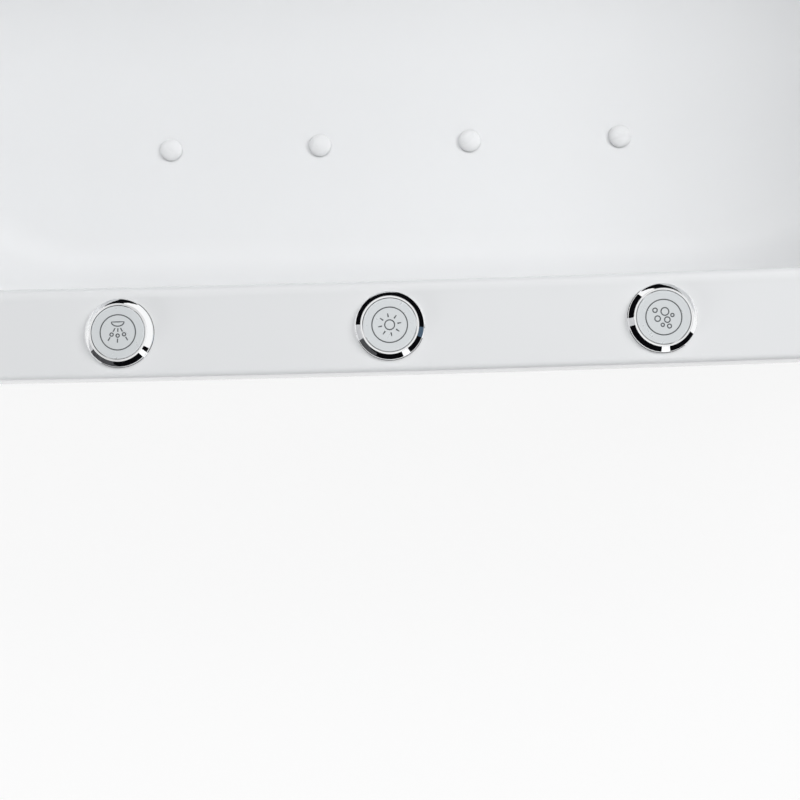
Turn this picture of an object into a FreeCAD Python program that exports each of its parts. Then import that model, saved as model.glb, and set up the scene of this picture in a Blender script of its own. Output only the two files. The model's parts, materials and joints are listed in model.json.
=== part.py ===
import FreeCAD, Part
import math
import os
from types import SimpleNamespace

import Sketcher
from FreeCAD import Vector

# A freestanding jetted bathtub: X runs along it, the button side faces -Y, Z is up from the floor.

# Driving sizes in millimetres and degrees.
SIZES = (
    ("length", 1700, "deck, end to end"),
    ("width", 800, "deck, side to side"),
    ("height", 580, "floor to deck"),
    ("side_bow", 12, "draw of the long sides from mid-length to the ends"),
    ("end_bow", 10, "draw of the short ends from the middle to the sides"),
    ("deck_corner", 100, "plan radius of the deck corners"),
    ("side_deck", 66, "deck width along the long sides"),
    ("end_deck", 78, "deck width at the ends"),
    ("deck_thick", 6, "deck sheet"),
    ("lip_height", 32, "turned-down outer lip"),
    ("lip_wall", 5, "thickness of the lip"),
    ("edge_round", 4, "outer edge radius of the deck"),
    ("opening_round", 10, "edge radius where the deck turns into the well"),
    ("opening_corner", 170, "plan corner radius of the well at the deck"),
    ("floor_height", 150, "ground to the floor of the well"),
    ("side_slope", 6.5, "lean of the long walls"),
    ("end_slope", 28, "lean of the backrests"),
    ("floor_round", 90, "radius between the walls and the floor of the well"),
    ("floor_corner", 240, "plan corner radius where wall and floor planes meet"),
    ("wall_thick", 6, "wall of the well"),
    ("glue_gap", 0.3, "bond line between curved faces"),
    ("skirt_wall", 5, "skirt sheet"),
    ("skirt_lift", 10, "skirt clear of the floor"),
    ("skirt_side_draw", 55, "taper of the skirt along the sides"),
    ("skirt_end_draw", 60, "taper of the skirt at the ends"),
    ("skirt_foot_corner", 70, "plan corner radius of the skirt at its foot"),
    ("panel_width", 340, "access panel across the end"),
    ("panel_height", 280, "access panel upwards"),
    ("panel_corner", 36, "corner radius of the access panel"),
    ("panel_base", 100, "floor to the lower edge of the access panel"),
    ("panel_gap", 1.5, "gap around the access panel"),
    ("panel_lap", 30, "panel frame behind the edge of its opening"),
    ("panel_frame_thick", 4, "panel frame sheet"),
    ("screw_inset", 16, "panel edge to its screws"),
    ("board_thick", 18, "base board under the well"),
    ("board_margin", 10, "base board beyond the flat of the floor"),
    ("rail_width", 30, "frame rail across"),
    ("rail_height", 40, "frame rail upwards"),
    ("rail_wall", 2.5, "frame rail tube wall"),
    ("rail_setback", 80, "deck end to the end of a frame rail"),
    ("tray_length", 170, "equipment tray along the tub"),
    ("tray_thick", 4, "equipment tray plate"),
    ("foot_setback", 200, "deck end to a levelling foot"),
    ("foot_radius", 30, "levelling foot pad"),
    ("foot_pad", 10, "thickness of the levelling foot pad"),
    ("stud_radius", 6, "levelling foot stud"),
    ("stud_grip", 24, "stud reach inside the frame rail"),
    ("stud_room", 0.1, "stud clear of its nut and rail"),
    ("lock_nut_height", 10, "lock nut under the frame rail"),
    ("button_pitch", 194, "button to button along the deck"),
    ("bezel_radius", 25, "flange of a button bezel"),
    ("bezel_height", 5.7, "bezel above the deck"),
    ("cap_radius", 19.1, "face of a push button"),
    ("cap_height", 5.5, "button face above the deck"),
    ("cap_room", 0.35, "button clear of its bezel"),
    ("cap_travel", 3, "push of a button"),
    ("sleeve_radius", 18, "threaded sleeve of a bezel"),
    ("sleeve_depth", 16, "sleeve below the deck"),
    ("plunger_radius", 16.4, "plunger under a button face"),
    ("housing_depth", 40, "button housing below the deck"),
    ("nipple_radius", 3, "air nipple under a button housing"),
    ("signal_bend", 25, "bend radius of a signal tube"),
    ("air_margin", 238.8, "end of the flat floor to the nearest air jets"),
    ("air_cap_radius", 12.5, "cap of an air jet"),
    ("air_stem_radius", 6, "stem of an air jet"),
    ("air_pipe_radius", 12.5, "air pipes"),
    ("air_pipe_drop", 44, "well floor underside to the air pipe axis"),
    ("jet_spread", 300, "mid-length to a side water jet"),
    ("jet_rise", 150, "well floor to a side water jet"),
    ("back_jet_spread", 62, "centreline to a back water jet"),
    ("back_jet_rise", 190, "well floor to a back water jet"),
    ("ball_radius", 16, "swivel ball of a water jet"),
    ("jet_flange_radius", 33, "face flange of a water jet"),
    ("jet_body_depth", 46, "water jet behind the wall"),
    ("side_stub", 147, "inlet branch of a side water jet"),
    ("back_stub", 62, "inlet branch of a back water jet"),
    ("stub_radius", 8, "inlet branch of a water jet"),
    ("pressure_radius", 14, "pressure pipes"),
    ("pipe_wall", 2.5, "wall of the water pipes"),
    ("pipe_bend", 40, "bend radius of the water pipes"),
    ("suction_rise", 120, "well floor to the suction fitting"),
    ("suction_shift", 30, "suction fitting towards the button side"),
    ("suction_radius", 40, "suction cover"),
    ("suction_pipe_radius", 20, "suction pipe"),
    ("drain_margin", 54.7, "side of the flat floor to the drain"),
    ("drain_radius", 34, "drain flange"),
    ("throat_radius", 24, "drain throat"),
    ("plug_lift", 10, "rise of the drain plug"),
    ("tail_radius", 20, "spigot of the waste tailpiece"),
    ("spigot_length", 32, "straight end of the waste tailpiece"),
    ("tail_lift", 10, "tailpiece end above the floor"),
    ("overflow_depth", 75, "deck to the overflow"),
    ("overflow_radius", 32, "overflow cover"),
    ("overflow_pipe_radius", 16, "overflow pipe"),
    ("light_depth", 200, "deck to the mood light"),
    ("lens_radius", 18, "mood light lens"),
    ("gear_setback", 150, "deck end to the pump axis and the blower"),
    ("pump_start", 50, "centreline to the pump inlet face"),
    ("motor_radius", 62, "pump motor"),
    ("volute_radius", 70, "pump wet end"),
    ("shaft_radius", 8, "pump shaft"),
    ("shaft_room", 0.05, "shafts clear of their bearings"),
    ("blower_radius", 80, "blower housing"),
    ("blower_height", 100, "blower housing upwards"),
    ("blower_shift", 130, "centreline to the blower axis"),
    ("box_length", 120, "control box along the tub"),
    ("box_width", 180, "control box across the tub"),
    ("box_height", 85, "control box upwards"),
    ("box_shift", 150, "centreline to the middle of the control box"),
    ("cable_radius", 4, "cables between the units"),
)
AIR_JETS_PER_ROW = 4

doc = FreeCAD.newDocument("jetted_bathtub")
sheet = doc.addObject("Spreadsheet::Sheet", "Sizes")
for row, (name, amount, meaning) in enumerate(SIZES, start=1):
    sheet.set(f"A{row}", name)
    sheet.set(f"B{row}", str(amount))
    sheet.set(f"C{row}", meaning)
    sheet.setAlias(f"B{row}", name)
doc.recompute()


class Term:
    """A size worked out from the sheet: its number now and the expression that keeps it so."""

    def __init__(self, number, text):
        self.number = number
        self.text = text

    def __add__(self, other):
        return joined(self, "+", other)

    def __radd__(self, other):
        return joined(other, "+", self)

    def __sub__(self, other):
        return joined(self, "-", other)

    def __rsub__(self, other):
        return joined(other, "-", self)

    def __mul__(self, other):
        return joined(self, "*", other)

    def __rmul__(self, other):
        return joined(other, "*", self)

    def __truediv__(self, other):
        return joined(self, "/", other)

    def __rtruediv__(self, other):
        return joined(other, "/", self)

    def __neg__(self):
        return Term(-self.number, f"(0 - {self.text})")


def term(amount):
    if isinstance(amount, Term):
        return amount
    return Term(float(amount), f"({float(amount)})")


def joined(left, sign, right):
    left = term(left)
    right = term(right)
    number = {
        "+": lambda: left.number + right.number,
        "-": lambda: left.number - right.number,
        "*": lambda: left.number * right.number,
        "/": lambda: left.number / right.number,
    }[sign]()
    return Term(number, f"({left.text} {sign} {right.text})")


def tan(angle):
    angle = term(angle)
    return Term(math.tan(math.radians(angle.number)), f"tan({angle.text})")


def sin(angle):
    angle = term(angle)
    return Term(math.sin(math.radians(angle.number)), f"sin({angle.text})")


def cos(angle):
    angle = term(angle)
    return Term(math.cos(math.radians(angle.number)), f"cos({angle.text})")


def root(amount):
    return Term(math.sqrt(amount.number), f"sqrt({amount.text})")


tub = SimpleNamespace(**{name: Term(float(sheet.get(name)), f"Sizes.{name}") for name, _, _ in SIZES})
nodes = {}


def keep(label, thing):
    """Name a finished piece and mark it for export."""
    thing.Label = label
    nodes[label] = thing
    return thing


def place(thing, x=0, y=0, z=0, yaw=0, tilt=0):
    """Tie a piece's Placement to the sheet: a turn about X by tilt, then about Z by yaw, then a shift."""
    spot = "; ".join(term(amount).text for amount in (x, y, z))
    thing.setExpression(
        "Placement",
        f"placement(vector({spot}); rotation({term(yaw).text}; 0; {term(tilt).text}))",
    )


# Sketches

def sketch_on(body, role, name, lift=0):
    plane = next(item for item in body.Origin.OriginFeatures if item.Role == role)
    sketch = body.newObject("Sketcher::SketchObject", name)
    sketch.AttachmentSupport = [(plane, "")]
    sketch.MapMode = "FlatFace"
    sketch.setExpression("AttachmentOffset.Base.z", term(lift).text)
    return sketch


def hold(sketch, kind, places, amount):
    index = sketch.addConstraint(Sketcher.Constraint(kind, *places, amount.number))
    sketch.setExpression(f"Constraints[{index}]", amount.text)


def hold_point(sketch, geometry, position, x, y):
    for kind, axis, amount in (("DistanceX", -2, term(x)), ("DistanceY", -1, term(y))):
        if amount.number == 0:
            sketch.addConstraint(Sketcher.Constraint("PointOnObject", geometry, position, axis))
        else:
            hold(sketch, kind, (-1, 1, geometry, position), amount)


def draw_polygon(sketch, points):
    points = [(term(x), term(y)) for x, y in points]
    first = sketch.GeometryCount
    count = len(points)
    for index in range(count):
        (x0, y0), (x1, y1) = points[index], points[(index + 1) % count]
        start = Vector(x0.number, y0.number, 0)
        end = Vector(x1.number, y1.number, 0)
        sketch.addGeometry(Part.LineSegment(start, end))
    for index in range(count):
        following = first + (index + 1) % count
        sketch.addConstraint(Sketcher.Constraint("Coincident", first + index, 2, following, 1))
    for index, (x, y) in enumerate(points):
        hold_point(sketch, first + index, 1, x, y)


def draw_circle(sketch, x, y, radius):
    x, y, radius = term(x), term(y), term(radius)
    centre = Vector(x.number, y.number, 0)
    index = sketch.addGeometry(Part.Circle(centre, Vector(0, 0, 1), radius.number))
    hold_point(sketch, index, 3, x, y)
    hold(sketch, "Radius", (index,), radius)


def draw_arcs(sketch, arcs):
    """Draw a closed loop of arcs and lines that run into each other without a corner."""
    first = sketch.GeometryCount
    for arc in arcs:
        sketch.addGeometry(arc)
    for index in range(len(arcs)):
        following = first + (index + 1) % len(arcs)
        sketch.addConstraint(Sketcher.Constraint("Tangent", first + index, 2, following, 1))
    return first


def arc_between(centre, radius, start, end):
    circle = Part.Circle(Vector(*centre, 0), Vector(0, 0, 1), radius)
    return Part.ArcOfCircle(circle, start, end)


def draw_rounded(sketch, x, y, half_x, half_y, corner):
    """A rectangle with rounded corners about the point x, y."""
    x, y, half_x, half_y, corner = (term(amount) for amount in (x, y, half_x, half_y, corner))
    r = corner.number
    arcs = []
    signs = ((1, 1), (-1, 1), (-1, -1), (1, -1))
    for step, (right, up) in enumerate(signs):
        centre = (x.number + right * (half_x.number - r), y.number + up * (half_y.number - r))
        start = step * math.pi / 2
        arcs.append(arc_between(centre, r, start, start + math.pi / 2))
    loop = []
    for step in range(4):
        here, after = arcs[step], arcs[(step + 1) % 4]
        loop.append(here)
        loop.append(Part.LineSegment(here.EndPoint, after.StartPoint))
    first = draw_arcs(sketch, loop)
    for step, (right, up) in enumerate(signs):
        centre_x = x + right * (half_x - corner)
        centre_y = y + up * (half_y - corner)
        hold_point(sketch, first + 2 * step, 3, centre_x, centre_y)
    hold(sketch, "Radius", (first,), corner)


side_arc = (tub.length * tub.length / 4 + tub.side_bow * tub.side_bow) / (2 * tub.side_bow)
end_arc = (tub.width * tub.width / 4 + tub.end_bow * tub.end_bow) / (2 * tub.end_bow)
side_centre = side_arc - tub.width / 2
end_centre = end_arc - tub.length / 2


def draw_outline(sketch, side_inset, end_inset, corner):
    """The tub's plan outline, four bowed sides and four corner arcs, drawn in by the insets."""
    corner = term(corner)
    side = side_arc - side_inset
    end = end_arc - end_inset
    r = corner.number
    reach_side = side.number - r
    reach_end = end.number - r
    # The corner centre lies reach_side from the side arc's centre and reach_end from the end arc's.
    span = math.hypot(end_centre.number, side_centre.number)
    along = (reach_side ** 2 - reach_end ** 2 + span ** 2) / (2 * span)
    off = math.sqrt(reach_side ** 2 - along ** 2)
    ux, uy = -end_centre.number / span, side_centre.number / span
    corner_x = along * ux + off * uy
    corner_y = -side_centre.number + along * uy - off * ux
    turn_end = math.atan2(corner_y, corner_x + end_centre.number)
    turn_side = math.atan2(corner_y + side_centre.number, corner_x)
    pi = math.pi
    arcs = [
        arc_between((-end_centre.number, 0), end.number, -turn_end, turn_end),
        arc_between((corner_x, corner_y), r, turn_end, turn_side),
        arc_between((0, -side_centre.number), side.number, turn_side, pi - turn_side),
        arc_between((-corner_x, corner_y), r, pi - turn_side, pi - turn_end),
        arc_between((end_centre.number, 0), end.number, pi - turn_end, pi + turn_end),
        arc_between((-corner_x, -corner_y), r, pi + turn_end, pi + turn_side),
        arc_between((0, side_centre.number), side.number, pi + turn_side, 2 * pi - turn_side),
        arc_between((corner_x, -corner_y), r, -turn_side, -turn_end),
    ]
    first = draw_arcs(sketch, arcs)
    hold_point(sketch, first, 3, -end_centre, 0)
    hold_point(sketch, first + 4, 3, end_centre, 0)
    hold_point(sketch, first + 2, 3, 0, -side_centre)
    hold_point(sketch, first + 6, 3, 0, side_centre)
    for index, radius in ((0, end), (4, end), (2, side), (6, side)):
        hold(sketch, "Radius", (first + index,), radius)
    for index in (1, 3, 5, 7):
        hold(sketch, "Radius", (first + index,), corner)


# Solid features

def new_body(name):
    return doc.addObject("PartDesign::Body", name)


def turn(body, points, name):
    """Add the solid that a half profile of (radius, height) points sweeps about the body's Z axis."""
    sketch = sketch_on(body, "XZ_Plane", f"{name}_profile")
    draw_polygon(sketch, points)
    feature = body.newObject("PartDesign::Revolution", f"{name}_turn")
    feature.Profile = sketch
    feature.ReferenceAxis = (sketch, ["V_Axis"])
    feature.Angle = 360
    return body


def turned(name, points):
    return turn(new_body(name), points, name)


def pad(body, sketch, length, name, backwards=False):
    feature = body.newObject("PartDesign::Pad", name)
    feature.Profile = sketch
    feature.Reversed = backwards
    feature.setExpression("Length", term(length).text)
    return feature


def pocket(body, sketch, depth, name, backwards=False):
    feature = body.newObject("PartDesign::Pocket", name)
    feature.Profile = sketch
    feature.Reversed = backwards
    feature.setExpression("Length", term(depth).text)
    return feature


def add_branch(body, role, name, lift, x, y, radius, length, backwards=False):
    """A round branch that grows out of a body from a plane of its origin."""
    sketch = sketch_on(body, role, f"{name}_circle", lift)
    draw_circle(sketch, x, y, radius)
    return pad(body, sketch, length, name, backwards)


def bore_branch(body, role, name, lift, x, y, radius, depth, backwards=False):
    sketch = sketch_on(body, role, f"{name}_circle", lift)
    draw_circle(sketch, x, y, radius)
    return pocket(body, sketch, depth, name, backwards)


def around(body, feature, count, name):
    """Repeat a feature around the body's Z axis."""
    pattern = body.newObject("PartDesign::PolarPattern", name)
    pattern.Originals = [feature]
    axis = next(item for item in body.Origin.OriginFeatures if item.Role == "Z_Axis")
    pattern.Axis = (axis, [""])
    pattern.Angle = 360
    pattern.Occurrences = count
    body.Tip = pattern
    return pattern


def copies(name, pairs):
    """Pieces each set at a spot of its own, as one group of separate solids."""
    links = []
    for index, (master, spot) in enumerate(pairs):
        link = doc.addObject("App::Link", f"{name}_{index}")
        link.LinkedObject = master
        place(link, **spot)
        links.append(link)
    group = doc.addObject("Part::Compound", name)
    group.Links = links
    return group


def taken_from(name, base, tool):
    cut = doc.addObject("Part::Cut", name)
    cut.Base = base
    cut.Tool = tool
    return cut


def bent_path(points, bend):
    """Straight runs through the points with a tangent arc at every corner."""
    edges = []
    start = points[0]
    for before, corner, after in zip(points, points[1:], points[2:]):
        back = (before - corner).normalize()
        ahead = (after - corner).normalize()
        half = back.getAngle(ahead) / 2
        reach = bend / math.tan(half)
        middle = corner + (back + ahead).normalize() * (bend / math.sin(half) - bend)
        arc_start = corner + back * reach
        arc_end = corner + ahead * reach
        edges.append(Part.LineSegment(start, arc_start).toShape())
        edges.append(Part.Arc(arc_start, middle, arc_end).toShape())
        start = arc_end
    edges.append(Part.LineSegment(start, points[-1]).toShape())
    return Part.Wire(edges)


def swept(points, bend, radius):
    heading = (points[1] - points[0]).normalize()
    ring = Part.Wire([Part.Circle(points[0], heading, radius).toShape()])
    return bent_path(points, bend).makePipeShell([ring], True, False)


def pipe_shape(spots, bend, radius, wall, end_cap=0):
    """A tube through the spots; end_cap closes both ends with that much material."""
    points = [Vector(*(term(amount).number for amount in spot)) for spot in spots]
    tube = swept(points, bend.number, radius.number)
    bore = list(points)
    bore[0] = points[0] + (points[1] - points[0]).normalize() * end_cap
    bore[-1] = points[-1] + (points[-2] - points[-1]).normalize() * end_cap
    return tube.cut(swept(bore, bend.number, (radius - wall).number))


def pipe(label, shapes):
    """A node of one or more tubes whose bent routes are worked out from the sheet."""
    feature = doc.addObject("Part::Feature", label)
    feature.Shape = shapes[0] if len(shapes) == 1 else Part.makeCompound(shapes)
    return keep(label, feature)


# Heights shared by several pieces
floor_top = tub.floor_height
well_depth = tub.height - floor_top
floor_under = floor_top - tub.wall_thick
board_under = floor_under - tub.glue_gap - tub.board_thick
rail_under = board_under - tub.rail_height
tray_top = board_under + tub.tray_thick


def line_inset(deck, slope, depth):
    return deck + depth * tan(slope)


def floor_inset(deck, slope, thick, angle):
    """Inset of the rounded foot of a wall where its normal stands at an angle to the level."""
    centre = deck + (well_depth - tub.floor_round) * tan(slope) + tub.floor_round / cos(slope)
    return centre - (tub.floor_round + thick) * cos(angle)


def well_outline(body, name, depth, side, end):
    """One level of the well's skin, with corners that keep in step with the side walls."""
    plain = line_inset(tub.side_deck, tub.side_slope, depth)
    blend = tub.opening_corner + (tub.floor_corner - tub.opening_corner) * depth / well_depth
    sketch = sketch_on(body, "XY_Plane", name, tub.height - depth)
    draw_outline(sketch, side, end, blend + plain - side)
    return sketch


def foot_level(body, name, thick, angle):
    """A level of the rounded foot of the well, set by the angle of the rounding."""
    depth = well_depth - tub.floor_round + (tub.floor_round + thick) * sin(angle)
    side = floor_inset(tub.side_deck, tub.side_slope, thick, angle)
    if term(angle).number < tub.end_slope.number:
        end = line_inset(tub.end_deck, tub.end_slope, depth) - thick / cos(tub.end_slope)
    else:
        end = floor_inset(tub.end_deck, tub.end_slope, thick, angle)
    return well_outline(body, name, depth, side, end)


def wall_level(body, name, thick, depth):
    side = line_inset(tub.side_deck, tub.side_slope, depth) - thick / cos(tub.side_slope)
    end = line_inset(tub.end_deck, tub.end_slope, depth) - thick / cos(tub.end_slope)
    return well_outline(body, name, depth, side, end)


def edge_level(body, name, angle):
    """A level of the rounded edge between the deck and the well."""
    r = tub.opening_round
    depth = r * (1 - sin(angle))
    side = tub.side_deck + r * tan(tub.side_slope) - r / cos(tub.side_slope) + r * cos(angle)
    if term(angle).number < tub.end_slope.number:
        end = line_inset(tub.end_deck, tub.end_slope, depth)
    else:
        end = tub.end_deck + r * tan(tub.end_slope) - r / cos(tub.end_slope) + r * cos(angle)
    return well_outline(body, name, depth, side, end)


def loft(body, kind, levels, name, ruled=False):
    feature = body.newObject(f"PartDesign::{kind}", name)
    feature.Profile = levels[0]
    feature.Sections = levels[1:]
    feature.Ruled = ruled
    feature.Refine = False
    return feature


FOOT_ANGLES = (90, 75, 60, 45, tub.end_slope, (tub.end_slope + tub.side_slope) / 2, tub.side_slope)

# The well, its deck and the turned-down lip, formed from one acrylic sheet
well = new_body("well")
lip_base = tub.height - tub.lip_height
deck_sketch = sketch_on(well, "XY_Plane", "deck_outline", lip_base)
draw_outline(deck_sketch, 0, 0, tub.deck_corner)
deck_pad = pad(well, deck_sketch, tub.lip_height, "deck")
doc.recompute()
deck_faces = deck_pad.Shape.Faces
top_face = max(range(len(deck_faces)), key=lambda index: deck_faces[index].CenterOfMass.z)
deck_edge = well.newObject("PartDesign::Fillet", "deck_edge")
deck_edge.Base = (deck_pad, [f"Face{top_face + 1}"])
deck_edge.setExpression("Radius", tub.edge_round.text)
under_sketch = sketch_on(well, "XY_Plane", "deck_underside", lip_base)
draw_outline(under_sketch, tub.lip_wall, tub.lip_wall, tub.deck_corner - tub.lip_wall)
pocket(well, under_sketch, tub.lip_height - tub.deck_thick, "deck_hollow", backwards=True)

outer_feet = [
    foot_level(well, f"outer_foot_{index}", tub.wall_thick, angle)
    for index, angle in enumerate(FOOT_ANGLES)
]
loft(well, "AdditiveLoft", outer_feet, "outer_foot")
outer_walls = [outer_feet[-1], wall_level(well, "outer_wall_top", tub.wall_thick, tub.deck_thick / 2)]
loft(well, "AdditiveLoft", outer_walls, "outer_wall", ruled=True)

inner_feet = [foot_level(well, f"inner_foot_{index}", 0, angle) for index, angle in enumerate(FOOT_ANGLES)]
loft(well, "SubtractiveLoft", inner_feet, "inner_foot")
EDGE_ANGLES = (tub.side_slope, tub.end_slope, 50, 70, 90)
inner_edges = [edge_level(well, f"inner_edge_{index}", angle) for index, angle in enumerate(EDGE_ANGLES)]
loft(well, "SubtractiveLoft", [inner_feet[-1], inner_edges[0]], "inner_wall", ruled=True)
loft(well, "SubtractiveLoft", inner_edges, "inner_edge")

# Spots on the walls of the well: the local Z axis points into the well, local Y runs down the wall
DEGREES = 180 / math.pi


def on_side(x, depth, front):
    radius = side_arc - line_inset(tub.side_deck, tub.side_slope, depth)
    y = root(radius * radius - x * x) - side_centre
    swing = x / radius * DEGREES
    turn_to = swing if front else 180 - swing
    return dict(x=x, y=-y if front else y, z=tub.height - depth, yaw=turn_to, tilt=tub.side_slope - 90)


def on_end(y, depth, right):
    radius = end_arc - line_inset(tub.end_deck, tub.end_slope, depth)
    x = root(radius * radius - y * y) - end_centre
    swing = y / radius * DEGREES
    turn_to = 90 + swing if right else -90 - swing
    return dict(x=x if right else -x, y=y, z=tub.height - depth, yaw=turn_to, tilt=tub.end_slope - 90)


def point_at(spot, x, y, z):
    """A point of a spot's own frame in the tub's frame."""
    offset = Vector(*(term(amount).number for amount in (x, y, z)))
    base = Vector(*(term(spot[axis]).number for axis in "xyz"))
    swing = FreeCAD.Rotation(Vector(0, 0, 1), term(spot.get("yaw", 0)).number)
    lean = FreeCAD.Rotation(Vector(1, 0, 0), term(spot.get("tilt", 0)).number)
    moved = base + swing.multVec(lean.multVec(offset))
    return (moved.x, moved.y, moved.z)


gap = tub.glue_gap
behind_wall = -(tub.wall_thick + gap)
flat_half_length = tub.length / 2 - floor_inset(tub.end_deck, tub.end_slope, 0, 90)
flat_half_width = tub.width / 2 - floor_inset(tub.side_deck, tub.side_slope, 0, 90)

# Push buttons on the deck of the button side
button_line = -(tub.width / 2 - tub.side_deck / 2)
BUTTONS = {"jets": -1, "light": 0, "bubbles": 1}
button_spots = {
    name: dict(x=step * tub.button_pitch, y=button_line, z=tub.height) for name, step in BUTTONS.items()
}
bore = tub.cap_radius + tub.cap_room
ledge = tub.cap_height - tub.cap_travel - 2.2
sleeve_bore = tub.plunger_radius + 0.4
bezel = turned("bezel", [
    (sleeve_bore, -tub.sleeve_depth), (tub.sleeve_radius, -tub.sleeve_depth), (tub.sleeve_radius, 0),
    (tub.bezel_radius, 0), (tub.bezel_radius, 0.7), (tub.bezel_radius - 0.4, 1.1),
    (tub.bezel_radius - 0.9, 1.1), (tub.bezel_radius - 0.9, tub.bezel_height - 3.4),
    (bore + 1.45, tub.bezel_height - 0.5), (bore + 0.95, tub.bezel_height),
    (bore + 0.45, tub.bezel_height), (bore, tub.bezel_height - 0.4), (bore, ledge), (sleeve_bore, ledge),
])
plunger_end = -(tub.sleeve_depth / 2)
cap = turned("cap", [
    (0, plunger_end), (tub.plunger_radius, plunger_end), (tub.plunger_radius, tub.cap_height - 2),
    (tub.cap_radius, tub.cap_height - 2), (tub.cap_radius, tub.cap_height - 0.2),
    (tub.cap_radius - 0.2, tub.cap_height), (0, tub.cap_height),
])
housing_floor = -(tub.housing_depth - 4)
nipple_end = -(tub.housing_depth + 16)
housing = turned("housing", [
    (tub.nipple_radius / 2, nipple_end), (tub.nipple_radius, nipple_end),
    (tub.nipple_radius, -(tub.housing_depth + 4)), (tub.sleeve_radius - 8, -(tub.housing_depth + 4)),
    (tub.sleeve_radius, -tub.housing_depth + 2), (tub.sleeve_radius, -tub.sleeve_depth),
    (tub.sleeve_radius - 2.5, -tub.sleeve_depth), (tub.sleeve_radius - 2.5, housing_floor),
    (tub.nipple_radius / 2, housing_floor),
])
# The rubber bellows under a button: three folds between the plunger and the housing floor
FOLDS = 3
fold = (plunger_end - housing_floor) / (2 * FOLDS)
crest = tub.sleeve_radius - 5
outer_folds = []
inner_folds = []
for step in range(2 * FOLDS + 1):
    level = housing_floor + step * fold
    radius = crest if step % 2 else crest - 3
    outer_folds.append((radius, level))
    inner_folds.append((radius - 1.4, level))
inner_folds[-1] = (crest - 4.4, plunger_end - 1.5)
bellows = turned("bellows", outer_folds + [(0, plunger_end), (0, plunger_end - 1.5)] + inner_folds[::-1])

gasket = turned("gasket", [
    (tub.sleeve_radius + 0.2, -(tub.deck_thick + 2)), (tub.sleeve_radius + 3, -(tub.deck_thick + 2)),
    (tub.sleeve_radius + 3, -tub.deck_thick), (tub.sleeve_radius + 0.2, -tub.deck_thick),
])


def hex_nut(name, corner, bore_radius, top, height):
    body = new_body(name)
    sketch = sketch_on(body, "XY_Plane", f"{name}_hexagon", top - height)
    angles = [60 * step + 30 for step in range(6)]
    draw_polygon(sketch, [(corner * cos(angle), corner * sin(angle)) for angle in angles])
    draw_circle(sketch, 0, 0, bore_radius)
    pad(body, sketch, height, f"{name}_pad")
    return body


button_nut = hex_nut(
    "button_nut", tub.sleeve_radius + 3, tub.sleeve_radius + 0.05, -(tub.deck_thick + 2), term(6),
)
for name, spot in button_spots.items():
    keep(f"button_bezel_{name}", copies(f"button_bezel_{name}", [(bezel, spot)]))
    keep(f"button_cap_{name}", copies(f"button_cap_{name}", [(cap, spot)]))
    keep(f"button_bellows_{name}", copies(f"button_bellows_{name}", [(bellows, spot)]))
button_groups = {"button_housings": housing, "button_nuts": button_nut, "button_gaskets": gasket}
for label, master in button_groups.items():
    keep(label, copies(label, [(master, spot) for spot in button_spots.values()]))

# Air jets in two rows on the floor of the well
air_axis = floor_under - tub.air_pipe_drop
air_reach = flat_half_length - tub.air_margin
air_pitch = 2 * air_reach / (AIR_JETS_PER_ROW - 1)
air_row = flat_half_width / 2
air_spots = []
for row in (-1, 1):
    for step in range(AIR_JETS_PER_ROW):
        air_spots.append(dict(x=step * air_pitch - air_reach, y=row * air_row, z=floor_top))
air_cap = turned("air_cap", [
    (0, 0), (tub.air_cap_radius - 2.5, 0), (tub.air_cap_radius - 2.5, 2.2), (tub.air_cap_radius, 2.2),
    (tub.air_cap_radius, 3.6), (tub.air_cap_radius - 1.2, 5), (tub.air_cap_radius - 4.5, 6.2),
    (tub.air_cap_radius - 8.5, 6.8), (0, 7),
])
air_stem_end = air_axis + tub.air_pipe_radius + gap - floor_top
air_stem = turned("air_stem", [
    (0, air_stem_end), (tub.air_stem_radius, air_stem_end), (tub.air_stem_radius, -(tub.wall_thick + 6)),
    (tub.air_stem_radius + 7, -(tub.wall_thick + 6)), (tub.air_stem_radius + 7, -tub.wall_thick),
    (tub.air_stem_radius, -tub.wall_thick), (tub.air_stem_radius, 0), (0, 0),
])
keep("air_jet_caps", copies("air_jet_caps", [(air_cap, spot) for spot in air_spots]))
keep("air_jet_stems", copies("air_jet_stems", [(air_stem, spot) for spot in air_spots]))

# Water jets: two on each long wall and two in the left backrest
jet_depth = well_depth - tub.jet_rise
back_jet_depth = well_depth - tub.back_jet_rise
JETS = {
    "front_left": on_side(-tub.jet_spread, jet_depth, True),
    "front_right": on_side(tub.jet_spread, jet_depth, True),
    "rear_left": on_side(-tub.jet_spread, jet_depth, False),
    "rear_right": on_side(tub.jet_spread, jet_depth, False),
    "back_front": on_end(-tub.back_jet_spread, back_jet_depth, False),
    "back_rear": on_end(tub.back_jet_spread, back_jet_depth, False),
}
ball = tub.ball_radius
jet_sleeve = ball + 7.5
jet_flange = turned("jet_flange", [
    (ball + 1, gap), (tub.jet_flange_radius, gap), (tub.jet_flange_radius, 2),
    (tub.jet_flange_radius - 5, 5.2), (ball + 4, 7), (ball - 0.8, 7),
])
branch_level = -(tub.jet_body_depth - 14)


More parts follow.
